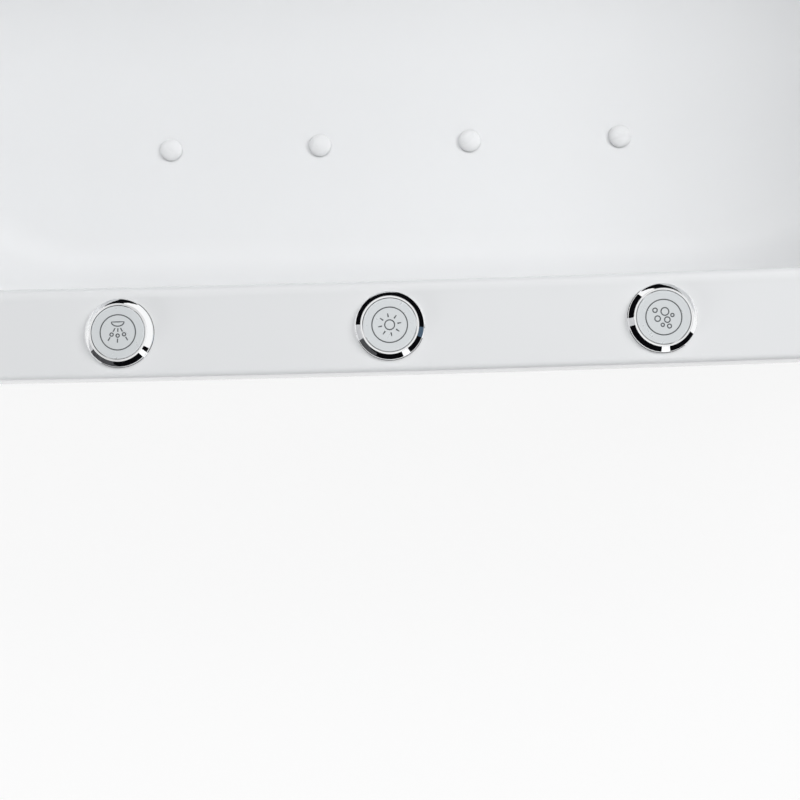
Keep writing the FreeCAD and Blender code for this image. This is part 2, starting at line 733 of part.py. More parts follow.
def jet_body(name, stub):
    """The cup behind the wall that seats the ball, with its inlet branch running down the wall."""
    body = turned(name, [
        (ball + 1, gap), (jet_sleeve, gap), (jet_sleeve, behind_wall), (jet_sleeve + 7.5, behind_wall),
        (jet_sleeve + 7.5, behind_wall - 5), (jet_sleeve, behind_wall - 8), (ball + 3, -16),
        (ball + 3, -tub.jet_body_depth), (0, -tub.jet_body_depth), (0, -(tub.jet_body_depth - 3)),
        (ball - 0.5, -(tub.jet_body_depth - 3)), (ball - 0.5, -18), (0.825 * ball, -0.6 * ball),
        (ball + 1, -6),
    ])
    add_branch(body, "XZ_Plane", f"{name}_branch", -(ball + 1), 0, branch_level, tub.stub_radius,
               stub - ball - 1, backwards=True)
    bore_branch(body, "XZ_Plane", f"{name}_bore", -(ball - 4), 0, branch_level, tub.stub_radius - 2,
                stub - ball + 5)
    return body


side_jet_body = jet_body("side_jet_body", tub.side_stub)
back_jet_body = jet_body("back_jet_body", tub.back_stub)
ball_solid = doc.addObject("Part::Sphere", "ball_solid")
ball_solid.setExpression("Radius", ball.text)
ball_solid.Angle1 = -40
ball_solid.Angle2 = 45
ball_bore = doc.addObject("Part::Cylinder", "ball_bore")
ball_bore.setExpression("Radius", (0.4 * ball).text)
ball_bore.setExpression("Height", (2 * ball).text)
place(ball_bore, z=-ball)
nozzle = taken_from("nozzle", ball_solid, ball_bore)
for name, spot in JETS.items():
    keep(f"jet_nozzle_{name}", copies(f"jet_nozzle_{name}", [(nozzle, spot)]))
keep("water_jet_flanges", copies("water_jet_flanges", [(jet_flange, spot) for spot in JETS.values()]))
keep("water_jet_bodies", copies("water_jet_bodies", [
    (back_jet_body if name.startswith("back") else side_jet_body, spot) for name, spot in JETS.items()
]))

# Suction fitting low in the right end
suction_spot = on_end(-tub.suction_shift, well_depth - tub.suction_rise, True)
suction_sleeve = tub.suction_radius - 12
suction_bore = tub.suction_pipe_radius - tub.pipe_wall
cover = turned("cover", [
    (0, -24), (5, -24), (5, 5.8), (tub.suction_radius - 14, 5.6), (tub.suction_radius - 4, 2),
    (tub.suction_radius - 4, gap), (tub.suction_radius, gap), (tub.suction_radius, 3),
    (tub.suction_radius - 12, 8), (0, 9),
])
slot_sketch = sketch_on(cover, "XY_Plane", "cover_slot", 12)
slot_reach = (tub.suction_radius - 18) / 2
draw_rounded(slot_sketch, 10 + slot_reach, 0, slot_reach, 1.6, 1.5)
around(cover, pocket(cover, slot_sketch, 11, "cover_slot_cut"), 12, "cover_slots")
place(cover, **suction_spot)
keep("suction_cover", cover)
suction_body = turned("suction_body", [
    (suction_sleeve - 4, gap), (suction_sleeve, gap), (suction_sleeve, behind_wall),
    (suction_sleeve + 8, behind_wall), (suction_sleeve + 8, behind_wall - 5),
    (suction_sleeve, behind_wall - 5), (suction_sleeve, -30), (tub.suction_pipe_radius + 2, -36),
    (tub.suction_pipe_radius + 2, -46), (suction_bore, -46), (suction_bore, -28), (0, -28),
    (0, -24), (suction_sleeve - 4, -24),
])
strainer = sketch_on(suction_body, "XY_Plane", "strainer_hole", -20)
draw_circle(strainer, 11.5, 0, 4)
around(suction_body, pocket(suction_body, strainer, 10, "strainer_cut"), 6, "strainer_holes")
place(suction_body, **suction_spot)
keep("suction_body", suction_body)

# Waste: flange and plug in the floor, tailpiece below, overflow high on the rear wall
drain_shift = flat_half_width - tub.drain_margin
drain_spot = dict(x=term(0), y=drain_shift, z=floor_top)
throat = tub.throat_radius
drain_flange = turned("drain_flange", [
    (throat, -24), (throat + 2, -24), (throat + 2, 0), (tub.drain_radius, 0), (tub.drain_radius, 0.6),
    (tub.drain_radius - 5, 2.4), (throat + 1.5, 2.4), (throat, 0.9),
])
place(drain_flange, **drain_spot)
keep("drain_flange", drain_flange)
plug_stem = term(5)
plug_end = -(tub.plug_lift + 32)
drain_plug = turned("drain_plug", [
    (0, plug_end), (plug_stem, plug_end), (plug_stem, -1), (throat - 0.6, 0.5), (throat - 0.6, 2.6),
    (throat - 4, 4.2), (0, 4.8),
])
place(drain_plug, **drain_spot)
keep("drain_plug", drain_plug)
tail_end = tub.tail_lift - floor_top
tail_bore = tub.tail_radius - tub.pipe_wall
spigot_top = tail_end + tub.spigot_length
stem_bore = plug_stem + tub.shaft_room
joint_level = rail_under - tub.overflow_pipe_radius - 6
drain_body = turned("drain_body", [
    (throat + 2.3, -tub.wall_thick), (throat + 12, -tub.wall_thick), (throat + 12, -(tub.wall_thick + 5)),
    (throat + 7, -(tub.wall_thick + 5)), (throat + 7, -44), (tub.tail_radius + 1.5, -56),
    (tub.tail_radius + 1.5, spigot_top), (tub.tail_radius, spigot_top), (tub.tail_radius, tail_end),
    (tail_bore, tail_end), (tail_bore, -57), (throat + 3, -44), (throat + 3, -36), (stem_bore, -36),
    (stem_bore, -30), (throat + 2.3, -30),
])
spider = sketch_on(drain_body, "XY_Plane", "spider_hole", -26)
draw_circle(spider, 15.5, 0, 7)
around(drain_body, pocket(drain_body, spider, 14, "spider_cut"), 5, "spider_holes")
boss_level = joint_level - floor_top
add_branch(drain_body, "XZ_Plane", "overflow_boss", -(tub.tail_radius - 2), 0, boss_level,
           tub.overflow_pipe_radius + 2, 10, backwards=True)
drain_body.Tip = bore_branch(
    drain_body, "XZ_Plane", "overflow_boss_bore", -(tub.tail_radius - 6), 0, boss_level,
    tub.overflow_pipe_radius - tub.pipe_wall, 16,
)
place(drain_body, **drain_spot)
keep("drain_body", drain_body)

overflow_spot = on_side(term(0), tub.overflow_depth, False)
overflow_cover = turned("overflow_cover", [
    (0, -37), (4, -37), (4, 8), (tub.overflow_radius - 6, 7.4), (tub.overflow_radius - 2, 4.5),
    (tub.overflow_radius - 2, gap), (tub.overflow_radius, gap), (tub.overflow_radius, 6),
    (tub.overflow_radius - 5, 9.6), (0, 10.4),
])
slot_sketch = sketch_on(overflow_cover, "XZ_Plane", "overflow_slot", -(tub.overflow_radius - 6))
draw_rounded(slot_sketch, 0, 2, 14, 2.2, 2)
overflow_cover.Tip = pocket(overflow_cover, slot_sketch, 10, "overflow_slot_cut")
place(overflow_cover, **overflow_spot)
keep("overflow_cover", overflow_cover)
overflow_sleeve = tub.overflow_radius - 12
overflow_body = turned("overflow_body", [
    (overflow_sleeve - 3, gap), (overflow_sleeve, gap), (overflow_sleeve, behind_wall),
    (overflow_sleeve + 7, behind_wall), (overflow_sleeve + 7, behind_wall - 4),
    (overflow_sleeve + 1, behind_wall - 4), (overflow_sleeve + 1, -40), (0, -40), (0, -37),
    (overflow_sleeve - 3, -37),
])
overflow_axis = -24
add_branch(overflow_body, "XZ_Plane", "overflow_branch", -(overflow_sleeve - 2), 0, overflow_axis,
           tub.overflow_pipe_radius - tub.pipe_wall, 16, backwards=True)
bore_branch(overflow_body, "XZ_Plane", "overflow_bore", -(overflow_sleeve - 8), 0, overflow_axis,
            tub.overflow_pipe_radius - 2 * tub.pipe_wall, 24)
place(overflow_body, **overflow_spot)
keep("overflow_body", overflow_body)
knee_out = flat_half_width + tub.floor_round + tub.wall_thick + tub.overflow_pipe_radius + 4
drop_out = flat_half_width + 2 * tub.floor_round / 3
pipe("overflow_pipe", [pipe_shape([
    point_at(overflow_spot, 0, overflow_sleeve + 14.5, overflow_axis),
    (0, knee_out, floor_top + tub.floor_round / 2),
    (0, drop_out, floor_top - 20),
    (0, drop_out, joint_level),
    (0, drain_shift + tub.tail_radius + 8, joint_level),
], tub.pipe_bend, tub.overflow_pipe_radius, tub.pipe_wall)])

# Mood light at the middle of the front wall
light_spot = on_side(term(0), tub.light_depth, True)
lens_seat = tub.lens_radius + 0.4
light_ring = turned("light_ring", [
    (lens_seat, gap), (lens_seat + 7.6, gap), (lens_seat + 7.6, 1.5), (lens_seat + 4, 3.5),
    (lens_seat, 3.5),
])
light_lens = turned("light_lens", [
    (0, -4), (tub.lens_radius, -4), (tub.lens_radius, 2.5), (tub.lens_radius - 5, 4), (0, 4.4),
])
light_body = turned("light_body", [
    (lens_seat, gap), (lens_seat + 2.6, gap), (lens_seat + 2.6, behind_wall), (lens_seat + 8.6, behind_wall),
    (lens_seat + 8.6, behind_wall - 5), (lens_seat + 2.6, behind_wall - 5), (tub.lens_radius - 2, -14),
    (tub.lens_radius - 2, -38), (0, -38), (0, -34), (tub.lens_radius - 5, -34), (tub.lens_radius - 5, -4),
    (lens_seat, -4),
])
for label, piece in (("light_ring", light_ring), ("light_lens", light_lens), ("light_body", light_body)):
    place(piece, **light_spot)
    keep(label, piece)

# The finished well: the formed sheet with every fitting's hole
button_hole = turned("button_hole", [
    (0, -20), (tub.sleeve_radius + 0.6, -20), (tub.sleeve_radius + 0.6, 10), (0, 10),
])


def wall_cutter(name, radius):
    return turned(name, [(0, -30), (radius, -30), (radius, 14), (0, 14)])


holes = [(button_hole, spot) for spot in button_spots.values()]
air_hole = wall_cutter("air_hole", tub.air_stem_radius + 0.4)
holes += [(air_hole, spot) for spot in air_spots]
jet_hole = wall_cutter("jet_hole", jet_sleeve + 0.5)
holes += [(jet_hole, spot) for spot in JETS.values()]
holes.append((wall_cutter("suction_hole", suction_sleeve + 0.5), suction_spot))
holes.append((wall_cutter("drain_hole", throat + 2.3), drain_spot))
holes.append((wall_cutter("overflow_hole", overflow_sleeve + 0.5), overflow_spot))
holes.append((wall_cutter("light_hole", lens_seat + 3.1), light_spot))
keep("basin_shell", taken_from("basin_shell", well, copies("well_holes", holes)))

# Tapered skirt with an access opening at the right end
skirt_top = tub.height - tub.deck_thick
skirt_tuck = tub.lip_wall + gap


def skirt_block(name, inset):
    body = new_body(name)
    inset = inset + skirt_tuck
    foot = sketch_on(body, "XY_Plane", f"{name}_foot", tub.skirt_lift)
    draw_outline(foot, inset + tub.skirt_side_draw, inset + tub.skirt_end_draw,
                 tub.skirt_foot_corner + skirt_tuck - inset)
    top = sketch_on(body, "XY_Plane", f"{name}_top", skirt_top)
    draw_outline(top, inset, inset, tub.deck_corner - inset)
    loft(body, "AdditiveLoft", [foot, top], f"{name}_loft", ruled=True)
    return body


def end_block(name, margin):
    """A block through the right end of the skirt, larger than the access panel by the margin."""
    body = new_body(name)
    sketch = sketch_on(body, "YZ_Plane", f"{name}_outline", tub.length / 2 - 160)
    draw_rounded(sketch, 0, tub.panel_base + tub.panel_height / 2, tub.panel_width / 2 + margin,
                 tub.panel_height / 2 + margin, tub.panel_corner + margin)
    pad(body, sketch, 220, f"{name}_pad")
    return body


def shared(name, first, second):
    common = doc.addObject("Part::Common", name)
    common.Base = first
    common.Tool = second
    return common


skirt_sheet = taken_from(
    "skirt_sheet", skirt_block("skirt_outside", term(0)), skirt_block("skirt_inside", tub.skirt_wall),
)
keep("outer_skirt", taken_from("outer_skirt", skirt_sheet, end_block("panel_opening", tub.panel_gap)))


def on_skirt_end(y, z):
    """A spot on the outside of the right end of the skirt, local Z pointing out."""
    rise = skirt_top - tub.skirt_lift
    radius = end_arc - skirt_tuck - tub.skirt_end_draw * (skirt_top - z) / rise
    lean = tub.skirt_end_draw / rise
    lean_angle = (lean - lean * lean * lean / 3) * DEGREES
    return dict(x=root(radius * radius - y * y) - end_centre, y=y, z=z, yaw=y / radius * DEGREES - 90,
                tilt=-lean_angle - 90)


screw_spots = []
for across in (-1, 1):
    for up in (-1, 1):
        y = across * (tub.panel_width / 2 - tub.screw_inset)
        z = tub.panel_base + tub.panel_height / 2 + up * (tub.panel_height / 2 - tub.screw_inset)
        screw_spots.append(on_skirt_end(y, z))
screw = turned("screw", [(0, -14), (2, -14), (2, 0.3), (4.5, 0.3), (4.5, 1.5), (3, 2.6), (0, 2.8)])
keep("access_panel_screws", copies("access_panel_screws", [(screw, spot) for spot in screw_spots]))
screw_hole = turned("screw_hole", [(0, -20), (2.15, -20), (2.15, 10), (0, 10)])
vent = new_body("vent")
vent_sketch = sketch_on(vent, "YZ_Plane", "vent_outline", tub.length / 2 - 160)
draw_rounded(vent_sketch, 0, 0, tub.panel_width / 4, 3, 2.9)
pad(vent, vent_sketch, 220, "vent_pad")
VENTS = 7
panel_cuts = [(screw_hole, spot) for spot in screw_spots]
for step in range(VENTS):
    level = tub.panel_base + tub.panel_height / 2 + (step - (VENTS - 1) / 2) * 16
    panel_cuts.append((vent, dict(z=level)))
panel_sheet = shared("panel_sheet", skirt_sheet, end_block("panel_block", term(0)))
keep("access_panel", taken_from("access_panel", panel_sheet, copies("panel_cuts", panel_cuts)))
backing = taken_from(
    "backing", skirt_block("backing_outside", tub.skirt_wall + gap),
    skirt_block("backing_inside", tub.skirt_wall + gap + tub.panel_frame_thick),
)
frame_ring = taken_from(
    "frame_ring", end_block("frame_outside", tub.panel_lap),
    end_block("frame_inside", 2 * tub.panel_gap - tub.panel_lap),
)
frame_sheet = shared("frame_sheet", backing, frame_ring)
frame_holes = copies("frame_holes", [(screw_hole, spot) for spot in screw_spots])
keep("access_panel_frame", taken_from("access_panel_frame", frame_sheet, frame_holes))

# Base board bonded under the floor, on two steel rails with an equipment tray across each end
board = new_body("base_board")
board_sketch = sketch_on(board, "XY_Plane", "board_outline", board_under)
draw_rounded(board_sketch, 0, 0, flat_half_length + tub.board_margin,
             flat_half_width + tub.board_margin, 40)
pad(board, board_sketch, tub.board_thick, "board_pad")
hole_sketch = sketch_on(board, "XY_Plane", "board_holes", board_under)
for spot in air_spots:
    draw_circle(hole_sketch, spot["x"], spot["y"], tub.air_stem_radius + 10)
draw_circle(hole_sketch, 0, drain_shift, throat + 16)
board.Tip = pocket(board, hole_sketch, tub.board_thick, "board_hole_cut", backwards=True)
keep("base_board", board)

rail_half = tub.length / 2 - tub.rail_setback
rail_spread = flat_half_width + tub.board_margin - tub.rail_width / 2
foot_x = tub.length / 2 - tub.foot_setback


def draw_box(sketch, half_x, low, high):
    draw_polygon(sketch, [(-half_x, low), (half_x, low), (half_x, high), (-half_x, high)])


rail = new_body("rail")
rail_sketch = sketch_on(rail, "YZ_Plane", "rail_section", -rail_half)
draw_box(rail_sketch, tub.rail_width / 2, rail_under, board_under)
draw_box(rail_sketch, tub.rail_width / 2 - tub.rail_wall, rail_under + tub.rail_wall,
         board_under - tub.rail_wall)
pad(rail, rail_sketch, 2 * rail_half, "rail_pad")
stud_sketch = sketch_on(rail, "XY_Plane", "stud_holes", rail_under)
for side in (-1, 1):
    draw_circle(stud_sketch, side * foot_x, 0, tub.stud_radius + tub.stud_room)
rail.Tip = pocket(rail, stud_sketch, tub.rail_wall + 1, "stud_hole_cut", backwards=True)
keep("frame_rails", copies("frame_rails", [(rail, dict(y=side * rail_spread)) for side in (-1, 1)]))

tray = new_body("tray")
tray_sketch = sketch_on(tray, "XY_Plane", "tray_outline", board_under)
draw_rounded(tray_sketch, rail_half - tub.tray_length / 2, 0, tub.tray_length / 2,
             rail_spread + tub.rail_width / 2, 10)
pad(tray, tray_sketch, tub.tray_thick, "tray_pad")
keep("equipment_trays", copies("equipment_trays", [(tray, dict(yaw=0)), (tray, dict(yaw=180))]))

# Levelling feet: pad, hexagon collar and stud in one piece, locked by a nut under the rail
stud_top = rail_under + tub.stud_grip
foot = turned("foot", [
    (0, 0), (tub.foot_radius, 0), (tub.foot_radius, tub.foot_pad / 2), (tub.foot_radius - 8, tub.foot_pad),
    (tub.stud_radius + 5, tub.foot_pad), (tub.stud_radius + 5, tub.foot_pad + 8),
    (tub.stud_radius, tub.foot_pad + 8), (tub.stud_radius, stud_top), (0, stud_top),
])
foot_spots = {}
for across, side in (("front", -1), ("rear", 1)):
    for along, end in (("left", -1), ("right", 1)):
        foot_spots[f"{across}_{along}"] = dict(x=end * foot_x, y=side * rail_spread)
for name, spot in foot_spots.items():
    keep(f"levelling_foot_{name}", copies(f"levelling_foot_{name}", [(foot, spot)]))
lock_nut = hex_nut(
    "lock_nut", tub.stud_radius + 5.5, tub.stud_radius + tub.stud_room, rail_under, tub.lock_nut_height,
)
keep("foot_lock_nuts", copies("foot_lock_nuts", [(lock_nut, spot) for spot in foot_spots.values()]))

# Pump on the right tray: its axis runs along Y, in line with the bend of the suction pipe
gear_x = tub.length / 2 - tub.gear_setback
pump_axis = suction_spot["z"] - (gear_x - suction_spot["x"]) * tan(tub.end_slope)
pump_spot = dict(x=gear_x, y=tub.pump_start, z=pump_axis, tilt=term(-90))
bearing = tub.shaft_radius + tub.shaft_room
chamber = tub.volute_radius - 9
WET_END, MOTOR_END = 80, 270
wet_end = turned("wet_end", [
    (suction_bore, -20), (tub.suction_pipe_radius + 4, -20), (tub.suction_pipe_radius + 4, 0),
    (tub.volute_radius, 0), (tub.volute_radius, WET_END), (bearing, WET_END), (bearing, WET_END - 12),
    (chamber, WET_END - 12), (chamber, 8), (suction_bore, 8),
])
outlet_top = tub.volute_radius + 20
add_branch(wet_end, "XZ_Plane", "outlet", chamber + 2, 0, WET_END / 2, tub.pressure_radius + 3,
           outlet_top - chamber - 2)
wet_end.Tip = bore_branch(wet_end, "XZ_Plane", "outlet_bore", outlet_top, 0, WET_END / 2,
                          tub.pressure_radius - tub.pipe_wall, outlet_top - chamber + 6)
motor = turned("motor", [
    (bearing, WET_END), (tub.motor_radius, WET_END), (tub.motor_radius, MOTOR_END), (15, MOTOR_END),
    (15, MOTOR_END - 6), (tub.motor_radius - 8, MOTOR_END - 6), (tub.motor_radius - 8, MOTOR_END - 32),
    (bearing, MOTOR_END - 32), (bearing, MOTOR_END - 48), (tub.motor_radius - 26, MOTOR_END - 48),
    (tub.motor_radius - 26, WET_END + 18), (bearing, WET_END + 18),
])
foot_sketch = sketch_on(motor, "XZ_Plane", "motor_foot", -(tub.motor_radius - 14))
draw_box(foot_sketch, term(50), WET_END + 30, MOTOR_END - 40)
motor_drop = pump_axis - tray_top - tub.motor_radius + 14
motor.Tip = pad(motor, foot_sketch, motor_drop, "motor_foot_pad", backwards=True)
armature = tub.motor_radius - 29
rotor = turned("rotor", [
    (0, 14), (12, 14), (12, 20), (chamber - 8, 20), (chamber - 8, 28), (14, 50), (tub.shaft_radius, 50),
    (tub.shaft_radius, WET_END + 24), (armature, WET_END + 24), (armature, MOTOR_END - 54),
    (tub.shaft_radius, MOTOR_END - 54), (tub.shaft_radius, MOTOR_END - 28),
    (tub.motor_radius - 12, MOTOR_END - 28), (tub.motor_radius - 12, MOTOR_END - 14),
    (tub.shaft_radius, MOTOR_END - 14), (tub.shaft_radius, MOTOR_END - 10), (0, MOTOR_END - 10),
])
for label, piece in (("pump_wet_end", wet_end), ("pump_motor", motor), ("pump_rotor", rotor)):
    place(piece, **pump_spot)
    keep(label, piece)
pipe("suction_pipe", [pipe_shape([
    point_at(suction_spot, 0, 0, -46),
    point_at(suction_spot, 0, 0, -(gear_x - suction_spot["x"]) / cos(tub.end_slope)),
    (gear_x, tub.pump_start - 20 - gap, pump_axis),
], tub.pipe_bend, tub.suction_pipe_radius, tub.pipe_wall)])

# Pressure pipes from the pump outlet along both long sides to the jets
outlet_y = tub.pump_start + WET_END / 2
outlet_z = pump_axis + outlet_top
header_z = outlet_z + tub.pipe_bend
header_end = tub.width / 4
run_reach = tub.pressure_radius + gap
side_run = point_at(JETS["rear_right"], 0, tub.side_stub + run_reach, branch_level)
back_run = point_at(JETS["back_rear"], 0, tub.back_stub + run_reach, branch_level)
run_start = gear_x.number - 100
run_end = -(tub.length / 2 - tub.end_deck - 252).number


def pressure_route(side):
    """From the header across the right end, down to the run behind the jets and round to the back jet."""
    return [
        (gear_x, side * header_end, header_z),
        (gear_x - 60, side * (header_end.number + 90), header_z),
        (run_start, side * side_run[1], side_run[2]),
        (run_end, side * side_run[1], side_run[2]),
        (back_run[0], side * (side_run[1] - 92), back_run[2]),
        (back_run[0], side * (back_run[1] - 24), back_run[2]),
    ]


front_route = [(gear_x, outlet_y, outlet_z), (gear_x, outlet_y, header_z)] + pressure_route(-1)
rear_route = [(gear_x, outlet_y + run_reach, header_z)] + pressure_route(1)
for label, route in (("pressure_pipe_front", front_route), ("pressure_pipe_rear", rear_route)):
    pipe(label, [pipe_shape(route, tub.pipe_bend * 0.9, tub.pressure_radius, tub.pipe_wall)])

# Blower on the left tray, its supply pipe and the air manifold under the floor
blower_spot = dict(x=-gear_x, y=tub.blower_shift, z=tray_top)
spindle = 5
shell_bore = tub.blower_radius - 8
blower = turned("blower", [
    (0, 0), (tub.blower_radius, 0), (tub.blower_radius, tub.blower_height), (30, tub.blower_height),
    (30, tub.blower_height - 6), (shell_bore, tub.blower_height - 6), (shell_bore, 6), (14, 6), (14, 36),
    (spindle + tub.shaft_room, 36), (spindle + tub.shaft_room, 4), (0, 4),
])
spout_y = -(tub.blower_radius - 37)
spout_end = tub.blower_radius + 8
add_branch(blower, "YZ_Plane", "spout", tub.blower_radius - 18, spout_y, tub.blower_height / 2,
           tub.air_pipe_radius + 3, 26)
blower.Tip = bore_branch(blower, "YZ_Plane", "spout_bore", spout_end, spout_y, tub.blower_height / 2,
                         tub.air_pipe_radius - 2, 36)
place(blower, **blower_spot)
keep("blower_housing", blower)
fan = turned("fan", [
    (0, 4.3), (spindle, 4.3), (spindle, 40), (shell_bore - 8, 40), (shell_bore - 8, 44), (16, 48),
    (16, 74), (0, 74),
])
vane_sketch = sketch_on(fan, "XY_Plane", "vane_outline", 42)
vane_reach = (shell_bore - 24) / 2
draw_rounded(vane_sketch, 14 + vane_reach, 0, vane_reach, 1.5, 1.4)
around(fan, pad(fan, vane_sketch, 26, "vane"), 9, "vanes")
place(fan, **blower_spot)
keep("blower_fan", fan)
air_cross = -(flat_half_length + tub.floor_round - 5)
manifold_end = air_reach + 14
pipe("air_manifold", [pipe_shape([
    (manifold_end, -air_row, air_axis),
    (air_cross, -air_row, air_axis),
    (air_cross, air_row, air_axis),
    (manifold_end, air_row, air_axis),
], tub.pipe_bend, tub.air_pipe_radius, tub.pipe_wall, end_cap=4)])
spout_at = (-gear_x + spout_end, tub.blower_shift + spout_y, tray_top + tub.blower_height / 2)
pipe("air_supply_pipe", [pipe_shape([
    spout_at,
    (air_cross, spout_at[1], spout_at[2]),
    (air_cross, spout_at[1], air_axis + tub.air_pipe_radius + gap),
], tub.pipe_bend * 0.7, tub.air_pipe_radius, tub.pipe_wall)])

# Control box beside the blower
box = new_body("control_box")
box_wall = 3
box_sketch = sketch_on(box, "XY_Plane", "box_outline", tray_top)
draw_rounded(box_sketch, -gear_x, -tub.box_shift, tub.box_length / 2, tub.box_width / 2, 8)
pad(box, box_sketch, tub.box_height, "box_pad")
inside_sketch = sketch_on(box, "XY_Plane", "box_inside", tray_top + box_wall)
draw_rounded(inside_sketch, -gear_x, -tub.box_shift, tub.box_length / 2 - box_wall,
             tub.box_width / 2 - box_wall, 5)
pocket(box, inside_sketch, tub.box_height, "box_hollow", backwards=True)
gland_level = tray_top + tub.box_height / 2
gland_root = -(gear_x + tub.box_length / 2 - 1)
box.Tip = add_branch(box, "YZ_Plane", "mains_gland", gland_root, -tub.box_shift, gland_level, 9, 12,
                     backwards=True)
keep("control_box", box)
lid = new_body("control_box_lid")
lid_sketch = sketch_on(lid, "XY_Plane", "lid_outline", tray_top + tub.box_height)
draw_rounded(lid_sketch, -gear_x, -tub.box_shift, tub.box_length / 2 + 2, tub.box_width / 2 + 2, 10)
pad(lid, lid_sketch, 6, "lid_pad")
keep("control_box_lid", lid)

# Air signal tubes from the buttons and cables between the units
box_front = -(tub.box_shift + tub.box_width / 2)
tubes = []
for index, (name, step) in enumerate(sorted(BUTTONS.items(), key=lambda item: -item[1])):
    x = step * tub.button_pitch
    run_z = tub.height - 110 + 12 * index
    end_x = -gear_x - 18 * (index - 1)
    tubes.append(pipe_shape([
        (x, button_line, tub.height + nipple_end),
        (x, button_line, run_z),
        (-gear_x + 140, button_line, run_z),
        (end_x + 40, button_line + 37, run_z - 70),
        (end_x, button_line + 67, run_z - 170),
        (end_x, box_front - 50, gland_level + 16),
        (end_x, box_front, gland_level + 16),
    ], tub.signal_bend * 0.8, tub.nipple_radius, tub.nipple_radius / 2))
pipe("signal_tubes", tubes)

cable = tub.cable_radius
lay_y = -(flat_half_width + 30)
lay_z = tray_top + cable + gap
tray_in = rail_half - tub.tray_length + 12
pump_side = (gear_x - tub.motor_radius - gap, tub.pump_start + 150, pump_axis)
lamp = point_at(light_spot, 0, 0, -38)
cable_routes = (
    [
        (-gear_x + tub.box_length / 2, -tub.box_shift + 30, gland_level),
        (-tray_in, -tub.box_shift + 30, gland_level), (-tray_in, lay_y, lay_z), (tray_in, lay_y, lay_z),
        (tray_in, pump_side[1], lay_z), (tray_in, pump_side[1], pump_side[2]), pump_side,
    ],
    [
        (-gear_x, -tub.box_shift + tub.box_width / 2, gland_level),
        (-gear_x, tub.blower_shift - tub.blower_radius - gap, gland_level),
    ],
    [
        (lamp[0], lamp[1] - 0.9, lamp[2]), (lamp[0], lamp[1] - 11, lamp[2]),
        (-gear_x + 140, lamp[1] - 11, lamp[2]), (-gear_x + 10, box_front - 30, lamp[2] - 75),
        (-gear_x + 10, box_front + 40, lamp[2] - 90),
        (-gear_x + 10, box_front + 40, tray_top + tub.box_height + 6),
    ],
)
cables = []
for route in cable_routes:
    points = [Vector(*(term(amount).number for amount in spot)) for spot in route]
    cables.append(swept(points, 9, cable.number))
pipe("wiring", cables)

doc.recompute()
for item in doc.Objects:
    if "Invalid" in item.State or "Error" in item.State:
        raise RuntimeError(f"{item.Name} is {item.State}")
os.makedirs("parts", exist_ok=True)
for label, thing in nodes.items():
    shape = thing.Shape
    if shape.isNull() or not shape.isValid() or not shape.Solids:
        raise RuntimeError(f"{label} has no sound solid")
    shape.exportStep(f"parts/{label}.step")
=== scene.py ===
import json
import math

import bmesh
import bpy
import numpy as np
from mathutils import Euler, Matrix, Vector


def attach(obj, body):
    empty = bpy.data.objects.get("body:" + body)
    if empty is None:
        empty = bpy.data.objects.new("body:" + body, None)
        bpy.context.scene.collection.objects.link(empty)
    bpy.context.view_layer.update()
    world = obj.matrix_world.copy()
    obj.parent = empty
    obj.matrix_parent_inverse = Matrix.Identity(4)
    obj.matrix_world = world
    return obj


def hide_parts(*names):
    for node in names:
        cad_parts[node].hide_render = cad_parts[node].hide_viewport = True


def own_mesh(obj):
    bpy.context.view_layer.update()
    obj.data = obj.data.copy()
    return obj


# A freestanding jetted bathtub in white acrylic, seen from above its push buttons.

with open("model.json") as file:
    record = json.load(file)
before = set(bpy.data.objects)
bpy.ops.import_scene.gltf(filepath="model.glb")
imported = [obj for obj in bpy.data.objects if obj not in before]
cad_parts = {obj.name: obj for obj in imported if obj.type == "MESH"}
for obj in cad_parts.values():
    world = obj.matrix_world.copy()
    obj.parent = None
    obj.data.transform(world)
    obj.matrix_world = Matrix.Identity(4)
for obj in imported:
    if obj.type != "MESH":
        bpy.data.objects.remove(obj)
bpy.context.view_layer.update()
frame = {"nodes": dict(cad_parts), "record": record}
nodes = frame["nodes"]
slot_of = {part["node"]: part["material_slot"] for part in frame["record"]["subparts"]}

# Sizes in millimetres, the same as those of the solids
MM = 0.001
LENGTH, WIDTH, HEIGHT = 1700, 800, 580
SIDE_BOW, END_BOW = 12, 10
SIDE_DECK, END_DECK = 66, 78
DECK_CORNER, DECK_THICK, EDGE_ROUND = 100, 6, 4
LIP_HEIGHT, LIP_WALL = 32, 5
FLOOR_HEIGHT = 150
WELL_DEPTH = HEIGHT - FLOOR_HEIGHT
OPENING_ROUND, OPENING_CORNER = 10, 170
FLOOR_ROUND, FLOOR_CORNER = 90, 240
SIDE_SLOPE, END_SLOPE = math.radians(6.5), math.radians(28)
WALL_THICK, GLUE_GAP = 6, 0.3
SKIRT_WALL, SKIRT_LIFT, SKIRT_FOOT_CORNER = 5, 10, 70
SKIRT_SIDE_DRAW, SKIRT_END_DRAW = 55, 60
PANEL_WIDTH, PANEL_HEIGHT, PANEL_BASE, PANEL_CORNER, PANEL_GAP = 340, 280, 100, 36, 1.5
BUTTON_PITCH, BEZEL_RADIUS, BEZEL_HEIGHT = 194, 25, 5.7
CAP_RADIUS, CAP_HEIGHT, CAP_TRAVEL = 19.1, 5.5, 3
PLUNGER_END, HOUSING_FLOOR = -8, -36
AIR_JETS_PER_ROW, AIR_MARGIN = 4, 238.8
DRAIN_MARGIN = 54.7
SIDE_JET_SPREAD, SIDE_JET_DEPTH = 300, 280
BACK_JET_SPREAD, BACK_JET_DEPTH = 62, 240
SUCTION_SHIFT, SUCTION_DEPTH = -30, 310
OVERFLOW_DEPTH, LIGHT_DEPTH = 75, 200
# The long faces of the solids are faceted, so the bowed lip stays this far inside them
LIP_SHY = 0.2

